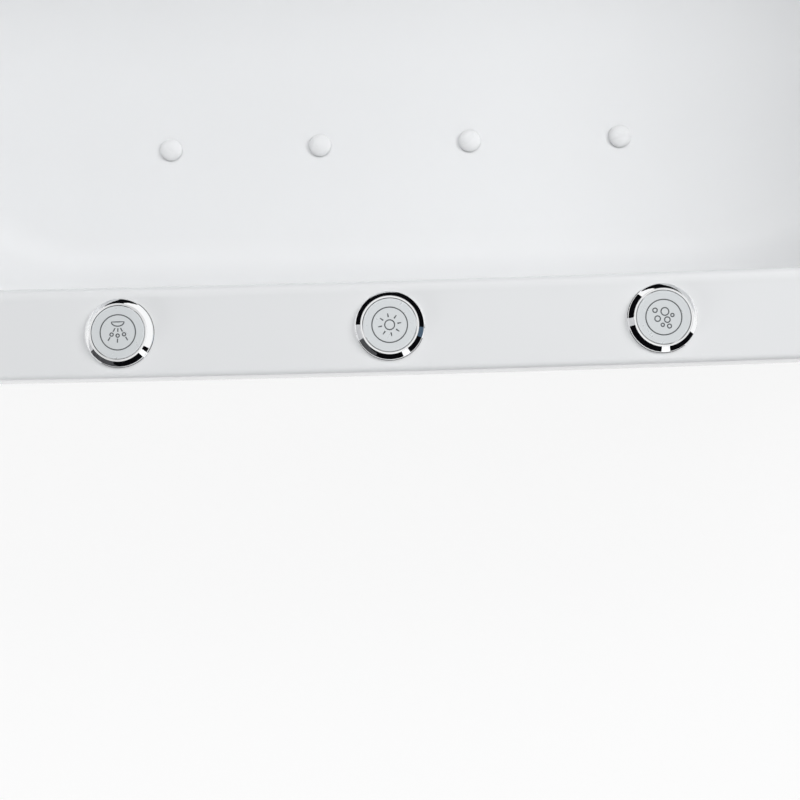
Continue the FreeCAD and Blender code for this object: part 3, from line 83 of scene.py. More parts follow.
SIDE_ARC = (LENGTH ** 2 / 4 + SIDE_BOW ** 2) / (2 * SIDE_BOW)
END_ARC = (WIDTH ** 2 / 4 + END_BOW ** 2) / (2 * END_BOW)
SIDE_CENTRE = SIDE_ARC - WIDTH / 2
END_CENTRE = END_ARC - LENGTH / 2


# Points and meshes

def angles(start, stop, steps):
    """Evenly spaced values from start to stop, both ends among them."""
    return [start + (stop - start) * step / steps for step in range(steps + 1)]


def arc_points(centre, radius, start, stop, steps):
    """Points of an arc between two angles in degrees."""
    points = []
    for angle in angles(start, stop, steps):
        turn = math.radians(angle)
        points.append((centre[0] + radius * math.cos(turn), centre[1] + radius * math.sin(turn)))
    return points


def dome_points(radius, base, rise, reach, steps):
    """Points of a low dome, from its rim up to an angle in degrees."""
    points = []
    for angle in angles(0, reach, steps):
        turn = math.radians(angle)
        points.append((radius * math.cos(turn), base + rise * math.sin(turn)))
    return points


def mesh_of(name, work):
    """The mesh that a finished bmesh holds."""
    mesh = bpy.data.meshes.new(name)
    work.to_mesh(mesh)
    work.free()
    return mesh


def keep_sharp(mesh, limit=32):
    """Close the seams, point the faces outwards and shade smooth except at edges sharper than the limit."""
    work = bmesh.new()
    work.from_mesh(mesh)
    bmesh.ops.remove_doubles(work, verts=work.verts, dist=1e-7)
    bmesh.ops.recalc_face_normals(work, faces=work.faces)
    for face in work.faces:
        face.smooth = True
    for edge in work.edges:
        edge.smooth = edge.calc_face_angle(math.pi) < math.radians(limit)
    work.to_mesh(mesh)
    work.free()


def new_piece(name, mesh):
    piece = bpy.data.objects.new(name, mesh)
    bpy.context.scene.collection.objects.link(piece)
    return piece


def ring_solid(name, rings, looped=False):
    """A closed solid through rings of points, filled at both ends or looped back to its first ring."""
    count = len(rings[0])
    points = np.concatenate(rings) * MM
    starts = list(range(0, len(points), count))
    ends = starts[1:] + starts[:1] if looped else starts[1:]
    faces = [] if looped else [list(range(count))]
    for low, high in zip(starts, ends):
        for step in range(count):
            after = (step + 1) % count
            faces.append([low + step, low + after, high + after, high + step])
    if not looped:
        faces.append(list(range(starts[-1], len(points))))
    mesh = bpy.data.meshes.new(name)
    mesh.from_pydata(points.tolist(), [], faces)
    return mesh


def turned_mesh(name, profile, segments):
    """The closed solid that a profile of (radius, height) points makes when it is turned about Z."""
    work = bmesh.new()
    loops = []
    for radius, height in profile:
        if radius < 1e-6:
            loops.append([work.verts.new((0, 0, height * MM))])
            continue
        ring = []
        for step in range(segments):
            angle = 2 * math.pi * step / segments
            x, y = radius * MM * math.cos(angle), radius * MM * math.sin(angle)
            ring.append(work.verts.new((x, y, height * MM)))
        loops.append(ring)
    for here, after in zip(loops, loops[1:] + loops[:1]):
        if len(here) == 1 and len(after) == 1:
            continue
        for step in range(segments):
            corners = []
            for loop in (here, after):
                picks = (step, (step + 1) % segments) if len(loop) > 1 else (0,)
                found = [loop[pick] for pick in picks]
                corners += found if loop is here else found[::-1]
            work.faces.new(corners)
    return mesh_of(name, work)


def settle(piece):
    """Turn what a piece's modifiers make of it into its plain mesh."""
    graph = bpy.context.evaluated_depsgraph_get()
    made = bpy.data.meshes.new_from_object(piece.evaluated_get(graph))
    piece.modifiers.clear()
    piece.data = made


def cut_out(piece, cutter_mesh):
    """Cut the space of a closed mesh out of a piece."""
    keep_sharp(cutter_mesh)
    cutter = new_piece("cutter", cutter_mesh)
    change = piece.modifiers.new("cut", "BOOLEAN")
    change.operation = "DIFFERENCE"
    change.solver = "EXACT"
    change.object = cutter
    settle(piece)
    bpy.data.objects.remove(cutter)
    return piece


def ease_edges(piece, width):
    """Round a piece's sharp edges a little, as moulding or plating leaves them."""
    limit, segments = 25, 3
    change = piece.modifiers.new("eased", "BEVEL")
    change.width = width * MM
    change.segments = segments
    change.limit_method = "ANGLE"
    change.angle_limit = math.radians(limit)
    change.use_clamp_overlap = True
    settle(piece)


# Outlines and levels of the tub

END_STEPS, CORNER_STEPS, SIDE_STEPS = 8, 26, 34


def outline(side_inset, end_inset, corner):
    """The plan outline drawn in by the insets: bowed sides and ends joined by corner arcs."""
    side, end = SIDE_ARC - side_inset, END_ARC - end_inset
    span = math.hypot(END_CENTRE, SIDE_CENTRE)
    along = ((side - corner) ** 2 - (end - corner) ** 2 + span ** 2) / (2 * span)
    off = math.sqrt((side - corner) ** 2 - along ** 2)
    unit_x, unit_y = -END_CENTRE / span, SIDE_CENTRE / span
    corner_x = along * unit_x + off * unit_y
    corner_y = -SIDE_CENTRE + along * unit_y - off * unit_x
    turn_end = math.atan2(corner_y, corner_x + END_CENTRE)
    turn_side = math.atan2(corner_y + SIDE_CENTRE, corner_x)
    quarter = []
    for centre_x, centre_y, radius, start, stop, steps in (
        (-END_CENTRE, 0, end, 0, turn_end, END_STEPS),
        (corner_x, corner_y, corner, turn_end, turn_side, CORNER_STEPS),
        (0, -SIDE_CENTRE, side, turn_side, math.pi / 2, SIDE_STEPS),
    ):
        turns = start + (stop - start) * np.arange(steps) / steps
        quarter.append(np.stack([centre_x + radius * np.cos(turns), centre_y + radius * np.sin(turns)], 1))
    quarter = np.concatenate(quarter)
    top = np.array([[0, -SIDE_CENTRE + side]])
    half = np.concatenate([quarter, top, (quarter * (-1, 1))[:0:-1]])
    return np.concatenate([half, -half])


def level(points, z):
    """A plan outline lifted to a height."""
    return np.column_stack([points, np.full(len(points), z)])


def wall_inset(deck, slope, depth, thick=0):
    """How far a sloping wall of the well lies inside the tub's edge at a depth under the deck."""
    return deck + depth * math.tan(slope) - thick / math.cos(slope)


def well_level(depth, side, end):
    """A level of the well, whose corners widen from the opening down to the floor."""
    plain = wall_inset(SIDE_DECK, SIDE_SLOPE, depth)
    corner = OPENING_CORNER + (FLOOR_CORNER - OPENING_CORNER) * depth / WELL_DEPTH + plain - side
    return level(outline(side, end, corner), HEIGHT - depth)


def foot_inset(deck, slope, thick, angle):
    """The inset of the rounding at the foot of a wall, at an angle along it."""
    centre = wall_inset(deck, slope, WELL_DEPTH - FLOOR_ROUND) + FLOOR_ROUND / math.cos(slope)
    return centre - (FLOOR_ROUND + thick) * math.cos(angle)


def foot_level(thick, angle):
    """A level of the rounding between the walls and the floor."""
    depth = WELL_DEPTH - FLOOR_ROUND + (FLOOR_ROUND + thick) * math.sin(angle)
    side = foot_inset(SIDE_DECK, SIDE_SLOPE, thick, angle)
    if angle < END_SLOPE:
        end = wall_inset(END_DECK, END_SLOPE, depth, thick)
    else:
        end = foot_inset(END_DECK, END_SLOPE, thick, angle)
    return well_level(depth, side, end)


def wall_level(thick, depth):
    """A level of the sloping walls."""
    side = wall_inset(SIDE_DECK, SIDE_SLOPE, depth, thick)
    end = wall_inset(END_DECK, END_SLOPE, depth, thick)
    return well_level(depth, side, end)


def brink_inset(deck, slope, angle):
    """The inset of the rounding at the top of a wall, at an angle along it."""
    return wall_inset(deck, slope, OPENING_ROUND, OPENING_ROUND) + OPENING_ROUND * math.cos(angle)


def brink_level(angle, spread=0):
    """A level of the rounding between the deck and the well; spread moves it out over the flat deck."""
    depth = OPENING_ROUND * (1 - math.sin(angle))
    side = brink_inset(SIDE_DECK, SIDE_SLOPE, angle)
    if angle < END_SLOPE:
        end = wall_inset(END_DECK, END_SLOPE, depth)
    else:
        end = brink_inset(END_DECK, END_SLOPE, angle)
    return well_level(depth, side - spread, end - spread)


def deck_level(inset, z):
    """A level of the deck's edge and lip."""
    return level(outline(inset + LIP_SHY, inset, DECK_CORNER - inset), z)


# Spots on the walls of the well: local Z points into the well, local Y runs down the wall

def spot(x, y, z, yaw=0.0, tilt=0.0):
    """The place of a fitting, tilted about its own X and then turned about Z."""
    turned = Matrix.Rotation(yaw, 4, "Z") @ Matrix.Rotation(tilt, 4, "X")
    return Matrix.Translation(Vector((x, y, z)) * MM) @ turned


def on_side(x, depth, front):
    """A spot on one of the long walls."""
    radius = SIDE_ARC - wall_inset(SIDE_DECK, SIDE_SLOPE, depth)
    y = math.sqrt(radius ** 2 - x ** 2) - SIDE_CENTRE
    swing = x / radius
    yaw = swing if front else math.pi - swing
    return spot(x, -y if front else y, HEIGHT - depth, yaw, SIDE_SLOPE - math.pi / 2)


def on_end(y, depth, right):
    """A spot on one of the end walls."""
    radius = END_ARC - wall_inset(END_DECK, END_SLOPE, depth)
    x = math.sqrt(radius ** 2 - y ** 2) - END_CENTRE
    swing = math.pi / 2 + y / radius
    return spot(x if right else -x, y, HEIGHT - depth, swing if right else -swing, END_SLOPE - math.pi / 2)


flat_half_length = LENGTH / 2 - foot_inset(END_DECK, END_SLOPE, 0, math.pi / 2)
flat_half_width = WIDTH / 2 - foot_inset(SIDE_DECK, SIDE_SLOPE, 0, math.pi / 2)
air_reach = flat_half_length - AIR_MARGIN
air_pitch = 2 * air_reach / (AIR_JETS_PER_ROW - 1)
air_row = flat_half_width / 2
button_line = -(WIDTH - SIDE_DECK) / 2

BUTTONS = {"jets": -BUTTON_PITCH, "light": 0, "bubbles": BUTTON_PITCH}
button_spots = {name: spot(x, button_line, HEIGHT) for name, x in BUTTONS.items()}
jet_spots = {
    "front_left": on_side(-SIDE_JET_SPREAD, SIDE_JET_DEPTH, True),
    "front_right": on_side(SIDE_JET_SPREAD, SIDE_JET_DEPTH, True),
    "rear_left": on_side(-SIDE_JET_SPREAD, SIDE_JET_DEPTH, False),
    "rear_right": on_side(SIDE_JET_SPREAD, SIDE_JET_DEPTH, False),
    "back_front": on_end(-BACK_JET_SPREAD, BACK_JET_DEPTH, False),
    "back_rear": on_end(BACK_JET_SPREAD, BACK_JET_DEPTH, False),
}
suction_spot = on_end(SUCTION_SHIFT, SUCTION_DEPTH, True)
drain_spot = spot(0, flat_half_width - DRAIN_MARGIN, FLOOR_HEIGHT)
overflow_spot = on_side(0, OVERFLOW_DEPTH, False)
light_spot = on_side(0, LIGHT_DEPTH, True)
air_spots = [
    spot(step * air_pitch - air_reach, row * air_row, FLOOR_HEIGHT)
    for row in (-1, 1) for step in range(AIR_JETS_PER_ROW)
]


# Finishes

def set_inputs(node, values):
    for name, value in values.items():
        node.inputs[name].default_value = value


def add_node(tree, kind, values=None, **settings):
    """A new node with its settings and the values of its inputs."""
    node = tree.nodes.new(kind)
    for name, value in settings.items():
        setattr(node, name, value)
    set_inputs(node, values or {})
    return node


def new_material(name):
    """A new material, its tree and its main shader."""
    material = bpy.data.materials.new(name)
    material.use_nodes = True
    tree = material.node_tree
    return material, tree, tree.nodes["Principled BSDF"]


def group_sockets(tree, inputs, outputs):
    """Give a tree its inputs and outputs, and the two nodes that carry them."""
    for way, sockets in (("INPUT", inputs), ("OUTPUT", outputs)):
        for name, kind in sockets.items():
            tree.interface.new_socket(name, in_out=way, socket_type=kind)
    return add_node(tree, "NodeGroupInput"), add_node(tree, "NodeGroupOutput")


def make_tone_drift():
    """Slow changes of tone and gloss over a surface, from handling and from how a sheet is formed."""
    tree = bpy.data.node_groups.new("tone_drift", "ShaderNodeTree")
    given, put = group_sockets(tree, {
        "Vector": "NodeSocketVector",
        "Scale": "NodeSocketFloat",
        "Dark": "NodeSocketColor",
        "Light": "NodeSocketColor",
        "Smooth": "NodeSocketFloat",
        "Rough": "NodeSocketFloat",
    }, {"Color": "NodeSocketColor", "Roughness": "NodeSocketFloat"})
    noise = add_node(tree, "ShaderNodeTexNoise", {"Detail": 5, "Roughness": 0.6})
    tone = add_node(tree, "ShaderNodeMix", data_type="RGBA")
    smudge = add_node(tree, "ShaderNodeTexNoise", {"Detail": 8, "Distortion": 0.6})
    wider = add_node(tree, "ShaderNodeMath", {1: 2.7}, operation="MULTIPLY")
    gloss = add_node(tree, "ShaderNodeMapRange", {"From Min": 0.3, "From Max": 0.7})
    link = tree.links.new
    link(given.outputs["Vector"], noise.inputs["Vector"])
    link(given.outputs["Scale"], noise.inputs["Scale"])
    link(given.outputs["Vector"], smudge.inputs["Vector"])
    link(given.outputs["Scale"], wider.inputs[0])
    link(wider.outputs[0], smudge.inputs["Scale"])
    link(noise.outputs["Fac"], tone.inputs["Factor"])
    link(given.outputs["Dark"], tone.inputs[6])
    link(given.outputs["Light"], tone.inputs[7])
    link(smudge.outputs["Fac"], gloss.inputs["Value"])
    link(given.outputs["Smooth"], gloss.inputs["To Min"])
    link(given.outputs["Rough"], gloss.inputs["To Max"])
    link(tone.outputs[2], put.inputs["Color"])
    link(gloss.outputs["Result"], put.inputs["Roughness"])
    return tree


def make_fine_grain():
    """Fine relief of a surface: moulded grain, orange peel or the lines of a satin finish."""
    tree = bpy.data.node_groups.new("fine_grain", "ShaderNodeTree")
    given, put = group_sockets(tree, {
        "Vector": "NodeSocketVector",
        "Scale": "NodeSocketFloat",
        "Stretch": "NodeSocketVector",
    }, {"Height": "NodeSocketFloat"})
    stretch = add_node(tree, "ShaderNodeVectorMath", operation="MULTIPLY")
    noise = add_node(tree, "ShaderNodeTexNoise", {"Detail": 3})
    link = tree.links.new
    link(given.outputs["Vector"], stretch.inputs[0])
    link(given.outputs["Stretch"], stretch.inputs[1])
    link(stretch.outputs[0], noise.inputs["Vector"])
    link(given.outputs["Scale"], noise.inputs["Scale"])
    link(noise.outputs["Fac"], put.inputs["Height"])
    return tree


TONE_DRIFT, FINE_GRAIN = make_tone_drift(), make_fine_grain()


def finish(name, dark, light, gloss, drift, grain, relief, stretch=(1, 1, 1), **sockets):
    """A material whose tone, gloss and relief change over the surface; sockets holds the plain values."""
    material, tree, shader = new_material(name)
    smooth, rough = gloss
    place = add_node(tree, "ShaderNodeTexCoord")
    tone = add_node(tree, "ShaderNodeGroup", {
        "Scale": drift, "Dark": (*dark, 1), "Light": (*light, 1), "Smooth": smooth, "Rough": rough,
    }, node_tree=TONE_DRIFT)
    fine = add_node(tree, "ShaderNodeGroup", {"Scale": grain, "Stretch": stretch}, node_tree=FINE_GRAIN)
    bump = add_node(tree, "ShaderNodeBump", {"Strength": relief, "Distance": 0.0005})
    link = tree.links.new
    link(place.outputs["Object"], tone.inputs["Vector"])
    link(place.outputs["Object"], fine.inputs["Vector"])
    link(fine.outputs["Height"], bump.inputs["Height"])
    link(tone.outputs["Color"], shader.inputs["Base Color"])
    link(tone.outputs["Roughness"], shader.inputs["Roughness"])
    link(bump.outputs["Normal"], shader.inputs["Normal"])
    set_inputs(shader, {socket.replace("_", " "): value for socket, value in sockets.items()})
    return material


def plywood():
    """Resin-coated board: long dark fibres over a warm brown."""
    material = finish(
        "coated_plywood", (0.36, 0.23, 0.13), (0.52, 0.36, 0.2), (0.42, 0.6),
        drift=3, grain=260, stretch=(0.06, 1, 1), relief=0.25,
    )
    tree = material.node_tree
    place = add_node(tree, "ShaderNodeTexCoord")
    turn = add_node(tree, "ShaderNodeMapping", {"Scale": (1.5, 22, 22)})
    fibre = add_node(
        tree, "ShaderNodeTexWave", {"Scale": 0.7, "Distortion": 7, "Detail": 3},
        wave_type="BANDS", bands_direction="Y",
    )
    shade = add_node(tree, "ShaderNodeMix", {"Factor": 0.5}, data_type="RGBA", blend_type="MULTIPLY")
    tone = next(node for node in tree.nodes if node.type == "GROUP" and node.node_tree == TONE_DRIFT)
    tree.links.new(place.outputs["Object"], turn.inputs["Vector"])
    tree.links.new(turn.outputs["Vector"], fibre.inputs["Vector"])
    tree.links.new(tone.outputs["Color"], shade.inputs[6])
    tree.links.new(fibre.outputs["Color"], shade.inputs[7])
    tree.links.new(shade.outputs[2], tree.nodes["Principled BSDF"].inputs["Base Color"])
    return material


# Each finish: name, darkest and lightest tone, smoothest and roughest gloss, then patterns and plain values
FINISHES = {
    "acrylic": finish(
        "white_acrylic", (0.825, 0.833, 0.842), (0.845, 0.85, 0.856), (0.05, 0.11),
        drift=2.2, grain=70, relief=0.012, Coat_Weight=0.2, Coat_Roughness=0.03,
    ),
    "chrome": finish(
        "polished_chrome", (0.92, 0.93, 0.94), (0.96, 0.963, 0.966), (0.0005, 0.0034),
        drift=30, grain=500, relief=0.01, Metallic=1.0,
    ),
    "chrome_brass": finish(
        "plated_brass", (0.9, 0.91, 0.92), (0.94, 0.944, 0.95), (0.03, 0.08),
        drift=30, grain=500, relief=0.01, Metallic=1.0,
    ),
    "satin_steel": finish(
        "satin_silver", (0.71, 0.74, 0.755), (0.75, 0.775, 0.79), (0.27, 0.33),
        drift=60, grain=4200, relief=0.015, Metallic=0.55,
    ),
    "brushed_steel": finish(
        "machined_steel", (0.5, 0.5, 0.51), (0.62, 0.62, 0.63), (0.22, 0.36),
        drift=20, grain=900, stretch=(1, 0.05, 1), relief=0.2, Metallic=1.0,
    ),
    "white_plastic": finish(
        "moulded_white", (0.81, 0.815, 0.822), (0.84, 0.843, 0.847), (0.22, 0.34),
        drift=12, grain=1500, relief=0.08,
    ),
    "grey_plastic": finish(
        "moulded_grey", (0.24, 0.25, 0.265), (0.3, 0.31, 0.32), (0.4, 0.55),
        drift=12, grain=1800, relief=0.3,
    ),
    "black_plastic": finish(
        "moulded_black", (0.012, 0.012, 0.014), (0.022, 0.022, 0.024), (0.38, 0.55),
        drift=14, grain=1800, relief=0.3,
    ),
    "black_rubber": finish(
        "matt_rubber", (0.012, 0.012, 0.012), (0.024, 0.024, 0.024), (0.6, 0.8),
        drift=20, grain=1400, relief=0.3,
    ),
    "clear_tube": finish(
        "milky_tube", (0.62, 0.66, 0.68), (0.7, 0.73, 0.75), (0.25, 0.4),
        drift=30, grain=900, relief=0.05, Transmission_Weight=0.35,
    ),
    "board": plywood(),
    "frame_steel": finish(
        "powder_coat", (0.03, 0.032, 0.034), (0.045, 0.047, 0.05), (0.38, 0.52),
        drift=10, grain=1300, relief=0.35,
    ),
    "zinc": finish(
        "zinc_plate", (0.46, 0.47, 0.49), (0.6, 0.61, 0.62), (0.28, 0.45),
        drift=60, grain=700, relief=0.1, Metallic=1.0,
    ),
    "motor_paint": finish(
        "motor_enamel", (0.016, 0.018, 0.024), (0.026, 0.028, 0.034), (0.3, 0.45),
        drift=10, grain=800, relief=0.2,
    ),
    "lens": finish(
        "clear_lens", (0.86, 0.9, 0.93), (0.92, 0.95, 0.97), (0.12, 0.2),
        drift=20, grain=1200, relief=0.05, Transmission_Weight=0.7, IOR=1.49,
    ),
}
INK = finish(
    "printed_ink", (0.08, 0.088, 0.094), (0.11, 0.118, 0.124), (0.45, 0.6),
    drift=400, grain=6000, relief=0.1,
)


# Trees that set repeated fittings out and print the signs

def set_out_tree():
    """Copies one fitting to every spot, turned the way the spot says."""
    tree = bpy.data.node_groups.new("fittings_on_spots", "GeometryNodeTree")
    given, put = group_sockets(tree, {
        "Spots": "NodeSocketGeometry",
        "Fitting": "NodeSocketObject",
        "Finish": "NodeSocketMaterial",
    }, {"Fittings": "NodeSocketGeometry"})
    piece = add_node(tree, "GeometryNodeObjectInfo")
    turn = add_node(tree, "GeometryNodeInputNamedAttribute", {"Name": "turn"}, data_type="FLOAT_VECTOR")
    angle = add_node(tree, "FunctionNodeEulerToRotation")
    spread = add_node(tree, "GeometryNodeInstanceOnPoints")
    solid = add_node(tree, "GeometryNodeRealizeInstances")
    dressing = add_node(tree, "GeometryNodeSetMaterial")
    link = tree.links.new
    link(given.outputs["Fitting"], piece.inputs["Object"])
    link(given.outputs["Spots"], spread.inputs["Points"])
    link(piece.outputs["Geometry"], spread.inputs["Instance"])
    link(turn.outputs["Attribute"], angle.inputs["Euler"])
    link(angle.outputs["Rotation"], spread.inputs["Rotation"])
    link(spread.outputs["Instances"], solid.inputs["Geometry"])
    link(solid.outputs["Geometry"], dressing.inputs["Geometry"])
    link(given.outputs["Finish"], dressing.inputs["Material"])
    link(dressing.outputs["Geometry"], put.inputs["Fittings"])
    return tree


def print_tree():
    """Lays a flat stroke of ink along every line of a sign."""
    tree = bpy.data.node_groups.new("printed_strokes", "GeometryNodeTree")
    given, put = group_sockets(tree, {
        "Lines": "NodeSocketGeometry",
        "Stroke": "NodeSocketFloat",
        "Ink height": "NodeSocketFloat",
        "Ink": "NodeSocketMaterial",
    }, {"Strokes": "NodeSocketGeometry"})
    upright = add_node(tree, "GeometryNodeSetCurveNormal", mode="Z_UP")
    section = add_node(tree, "GeometryNodeCurvePrimitiveQuadrilateral")
    taper = add_node(tree, "GeometryNodeInputRadius")
    stroke = add_node(tree, "GeometryNodeCurveToMesh", {"Fill Caps": True})
    dressing = add_node(tree, "GeometryNodeSetMaterial")
    link = tree.links.new
    link(given.outputs["Lines"], upright.inputs["Curve"])
    link(upright.outputs["Curve"], stroke.inputs["Curve"])
    link(given.outputs["Stroke"], section.inputs["Width"])
    link(given.outputs["Ink height"], section.inputs["Height"])
    link(section.outputs["Curve"], stroke.inputs["Profile Curve"])
    link(taper.outputs["Radius"], stroke.inputs["Scale"])
    link(stroke.outputs["Mesh"], dressing.inputs["Geometry"])
    link(given.outputs["Ink"], dressing.inputs["Material"])
    link(dressing.outputs["Geometry"], put.inputs["Strokes"])
    return tree


FITTINGS_ON_SPOTS, PRINTED_STROKES = set_out_tree(), print_tree()


def grown(name, carrier, tree, values):
    """Run a tree on a carrier object and keep what it makes as a plain piece of its own."""
    change = carrier.modifiers.new("grow", "NODES")
    change.node_group = tree
    identifiers = {item.name: item.identifier for item in tree.interface.items_tree if item.in_out == "INPUT"}
    for key, value in values.items():
        change[identifiers[key]] = value
    graph = bpy.context.evaluated_depsgraph_get()
    mesh = bpy.data.meshes.new_from_object(carrier.evaluated_get(graph))
    bpy.data.objects.remove(carrier)
    return new_piece(name, mesh)


def set_out(name, fitting_mesh, spots, slot):
    """One piece made of a fitting repeated on all its spots."""
    fitting = new_piece("fitting", fitting_mesh)
    mesh = bpy.data.meshes.new("spots")
    mesh.from_pydata([place.to_translation() for place in spots], [], [])
    turns = mesh.attributes.new("turn", "FLOAT_VECTOR", "POINT")
    for index, place in enumerate(spots):
        turns.data[index].vector = place.to_euler()
    carrier = new_piece("spots", mesh)
    piece = grown(name, carrier, FITTINGS_ON_SPOTS, {"Fitting": fitting, "Finish": FINISHES[slot]})
    bpy.data.objects.remove(fitting)
    return piece


def dress(piece, body, slot, *stands_for):
    """Give a piece its finish, its body and the nodes that it stands for."""
    if not piece.data.materials:
        piece.data.materials.append(FINISHES[slot])
    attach(piece, body)
    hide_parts(*stands_for)


def turned_piece(name, profile, place, ease=0.4, segments=96):
    """A turned fitting with eased edges, set at its spot."""
    mesh = turned_mesh(name, profile, segments)
    keep_sharp(mesh)
    piece = new_piece(name, mesh)
    if ease:
        ease_edges(piece, ease)
    piece.data.transform(place)
    keep_sharp(piece.data)
    return piece


def turned_fitting(profile, ease=0.4, segments=96):
    """The mesh of a turned fitting at the origin, ready to be set out."""
    piece = turned_piece("fitting_mesh", profile, Matrix.Identity(4), ease, segments)
    mesh = piece.data
    bpy.data.objects.remove(piece)
    return mesh


# The basin: well, deck and turned-down lip formed from one sheet

FOOT_STEPS, WALL_STEPS, BRINK_STEPS, EDGE_STEPS, UNDERSIDE_STEPS = 26, 8, 14, 8, 14


def basin_rings():
    """Levels from the middle of the floor up the well, over the deck, round the lip and back underneath."""
    upright = math.pi / 2
    foot_depth = WELL_DEPTH - FLOOR_ROUND + FLOOR_ROUND * math.sin(SIDE_SLOPE)
    brink_depth = OPENING_ROUND * (1 - math.sin(SIDE_SLOPE))
    flat_side = foot_inset(SIDE_DECK, SIDE_SLOPE, 0, upright)
    flat_end = foot_inset(END_DECK, END_SLOPE, 0, upright)
    inward = 3
    rings = [well_level(WELL_DEPTH, flat_side + inward, flat_end + inward)]
    rings += [foot_level(0, angle) for angle in angles(upright, SIDE_SLOPE, FOOT_STEPS)]
    rings += [
        wall_level(0, foot_depth + (brink_depth - foot_depth) * step / WALL_STEPS)
        for step in range(1, WALL_STEPS)
    ]
    rings += [brink_level(angle) for angle in angles(SIDE_SLOPE, upright, BRINK_STEPS)]
    rings.append(brink_level(upright, spread=1.2))
    rings.append(deck_level(EDGE_ROUND + 1, HEIGHT))
    rings += [
        deck_level(EDGE_ROUND * (1 - math.cos(angle)), HEIGHT - EDGE_ROUND * (1 - math.sin(angle)))
        for angle in angles(upright, 0, EDGE_STEPS)
    ]
    lip_base = HEIGHT - LIP_HEIGHT
    under = HEIGHT - DECK_THICK
    rings += [deck_level(inset, lip_base + rise) for inset, rise in (
        (0, 1.5), (0, 0.8), (0.25, 0.25), (0.8, 0),
        (LIP_WALL - 0.8, 0), (LIP_WALL - 0.25, 0.25), (LIP_WALL, 0.8), (LIP_WALL, under - lip_base),
    )]
    rings.append(wall_level(WALL_THICK, DECK_THICK))
    rings += [foot_level(WALL_THICK, angle) for angle in angles(SIDE_SLOPE, upright, UNDERSIDE_STEPS)]
    return rings


def fitting_holes():
    """Round cutters for every fitting that goes through the sheet: a radius and the spots that take it."""
    length, middle = 44, -8
    cutters = bmesh.new()
    for radius, spots in (
        (18.6, button_spots.values()), (6.4, air_spots), (24, jet_spots.values()), (28.5, [suction_spot]),
        (26.3, [drain_spot]), (20.5, [overflow_spot]), (21.5, [light_spot]),
    ):
        for place in spots:
            bmesh.ops.create_cone(
                cutters, cap_ends=True, segments=64, radius1=radius * MM, radius2=radius * MM,
                depth=length * MM, matrix=place @ Matrix.Translation((0, 0, middle * MM)),
            )
    return mesh_of("fitting_holes", cutters)


basin_mesh = ring_solid("basin", basin_rings())
keep_sharp(basin_mesh)
basin = cut_out(new_piece("basin", basin_mesh), fitting_holes())
keep_sharp(basin.data, limit=38)
dress(basin, "tub", "acrylic", "basin_shell")


# The tapered skirt and its access panel

SKIRT_TOP = HEIGHT - DECK_THICK
SKIRT_TUCK = LIP_WALL + GLUE_GAP


def skirt_ring(inset, share):
    """A ring of the skirt at a share of its height, on the straight lines between its foot and its top."""
    tucked = inset + SKIRT_TUCK
    foot = outline(tucked + SKIRT_SIDE_DRAW, tucked + SKIRT_END_DRAW, SKIRT_FOOT_CORNER + SKIRT_TUCK - tucked)
    top = outline(tucked, tucked, DECK_CORNER - tucked)
    return level(foot + (top - foot) * share, SKIRT_LIFT + (SKIRT_TOP - SKIRT_LIFT) * share)


def skirt_mesh():
    """The skirt as a closed band: an eased lower edge, up its outside, over the top and down its inside."""
    bands = 14
    shares = [step / bands for step in range(bands + 1)]
    rings = [skirt_ring(1.2, 0), skirt_ring(0.35, 0.0006), skirt_ring(0, 0.0022)]
    rings += [skirt_ring(0, share) for share in shares[1:]]
    rings += [skirt_ring(SKIRT_WALL, share) for share in shares[::-1]]
    mesh = ring_solid("skirt", rings, looped=True)
    keep_sharp(mesh)
    return mesh


def panel_opening():
    """A block with rounded corners through the end of the skirt, as large as the access panel and its gap."""
    corner = PANEL_CORNER + PANEL_GAP
    half_width, half_height = PANEL_WIDTH / 2 + PANEL_GAP, PANEL_HEIGHT / 2 + PANEL_GAP
    middle = PANEL_BASE + PANEL_HEIGHT / 2
    ring = []
    for turn, (right, up) in enumerate(((1, 1), (-1, 1), (-1, -1), (1, -1))):
        centre = (right * (half_width - corner), middle + up * (half_height - corner))
        ring += arc_points(centre, corner, 90 * turn, 90 * (turn + 1), steps=12)
    inside, outside = LENGTH / 2 - 160, LENGTH / 2 + 60
    return ring_solid("panel_opening", [np.array([(x, y, z) for y, z in ring]) for x in (inside, outside)])


skirt = cut_out(new_piece("skirt", skirt_mesh()), panel_opening())
keep_sharp(skirt.data)
dress(skirt, "tub", "acrylic", "outer_skirt")


# Push buttons

bore = CAP_RADIUS + 0.35


def bezel_profile():
    """Sleeve, flat flange, upright wall, polished bevel and the crowned lip around the cap."""
    shoulder = BEZEL_RADIUS - 0.65
    bevel_foot, bevel_top = (shoulder, BEZEL_HEIGHT - 3.25), (bore + 1.5, BEZEL_HEIGHT - 0.5)
    bulge = 0.04
    bevel = []
    for share in angles(0, 1, 8):
        swell = bulge * math.sin(math.pi * share) / math.sqrt(2)
        bevel.append((
            bevel_foot[0] + (bevel_top[0] - bevel_foot[0]) * share + swell,
            bevel_foot[1] + (bevel_top[1] - bevel_foot[1]) * share + swell,
        ))
    crown_radius, crown_lean = 2.4, 16
    crown_centre = (bore + 0.75, BEZEL_HEIGHT - crown_radius)
    lip = arc_points(crown_centre, crown_radius, 90 - crown_lean, 90 + crown_lean, 8)
    return [
        (16.8, -16), (18, -16), (18, 0), (BEZEL_RADIUS, 0), (BEZEL_RADIUS, 0.7), (BEZEL_RADIUS - 0.4, 1.1),
        (shoulder + 0.05, 1.1), *bevel, (bore + 1.48, BEZEL_HEIGHT - 0.2), *lip,
        (bore, BEZEL_HEIGHT - 0.4), (bore, 0.3), (16.8, 0.3),
    ]


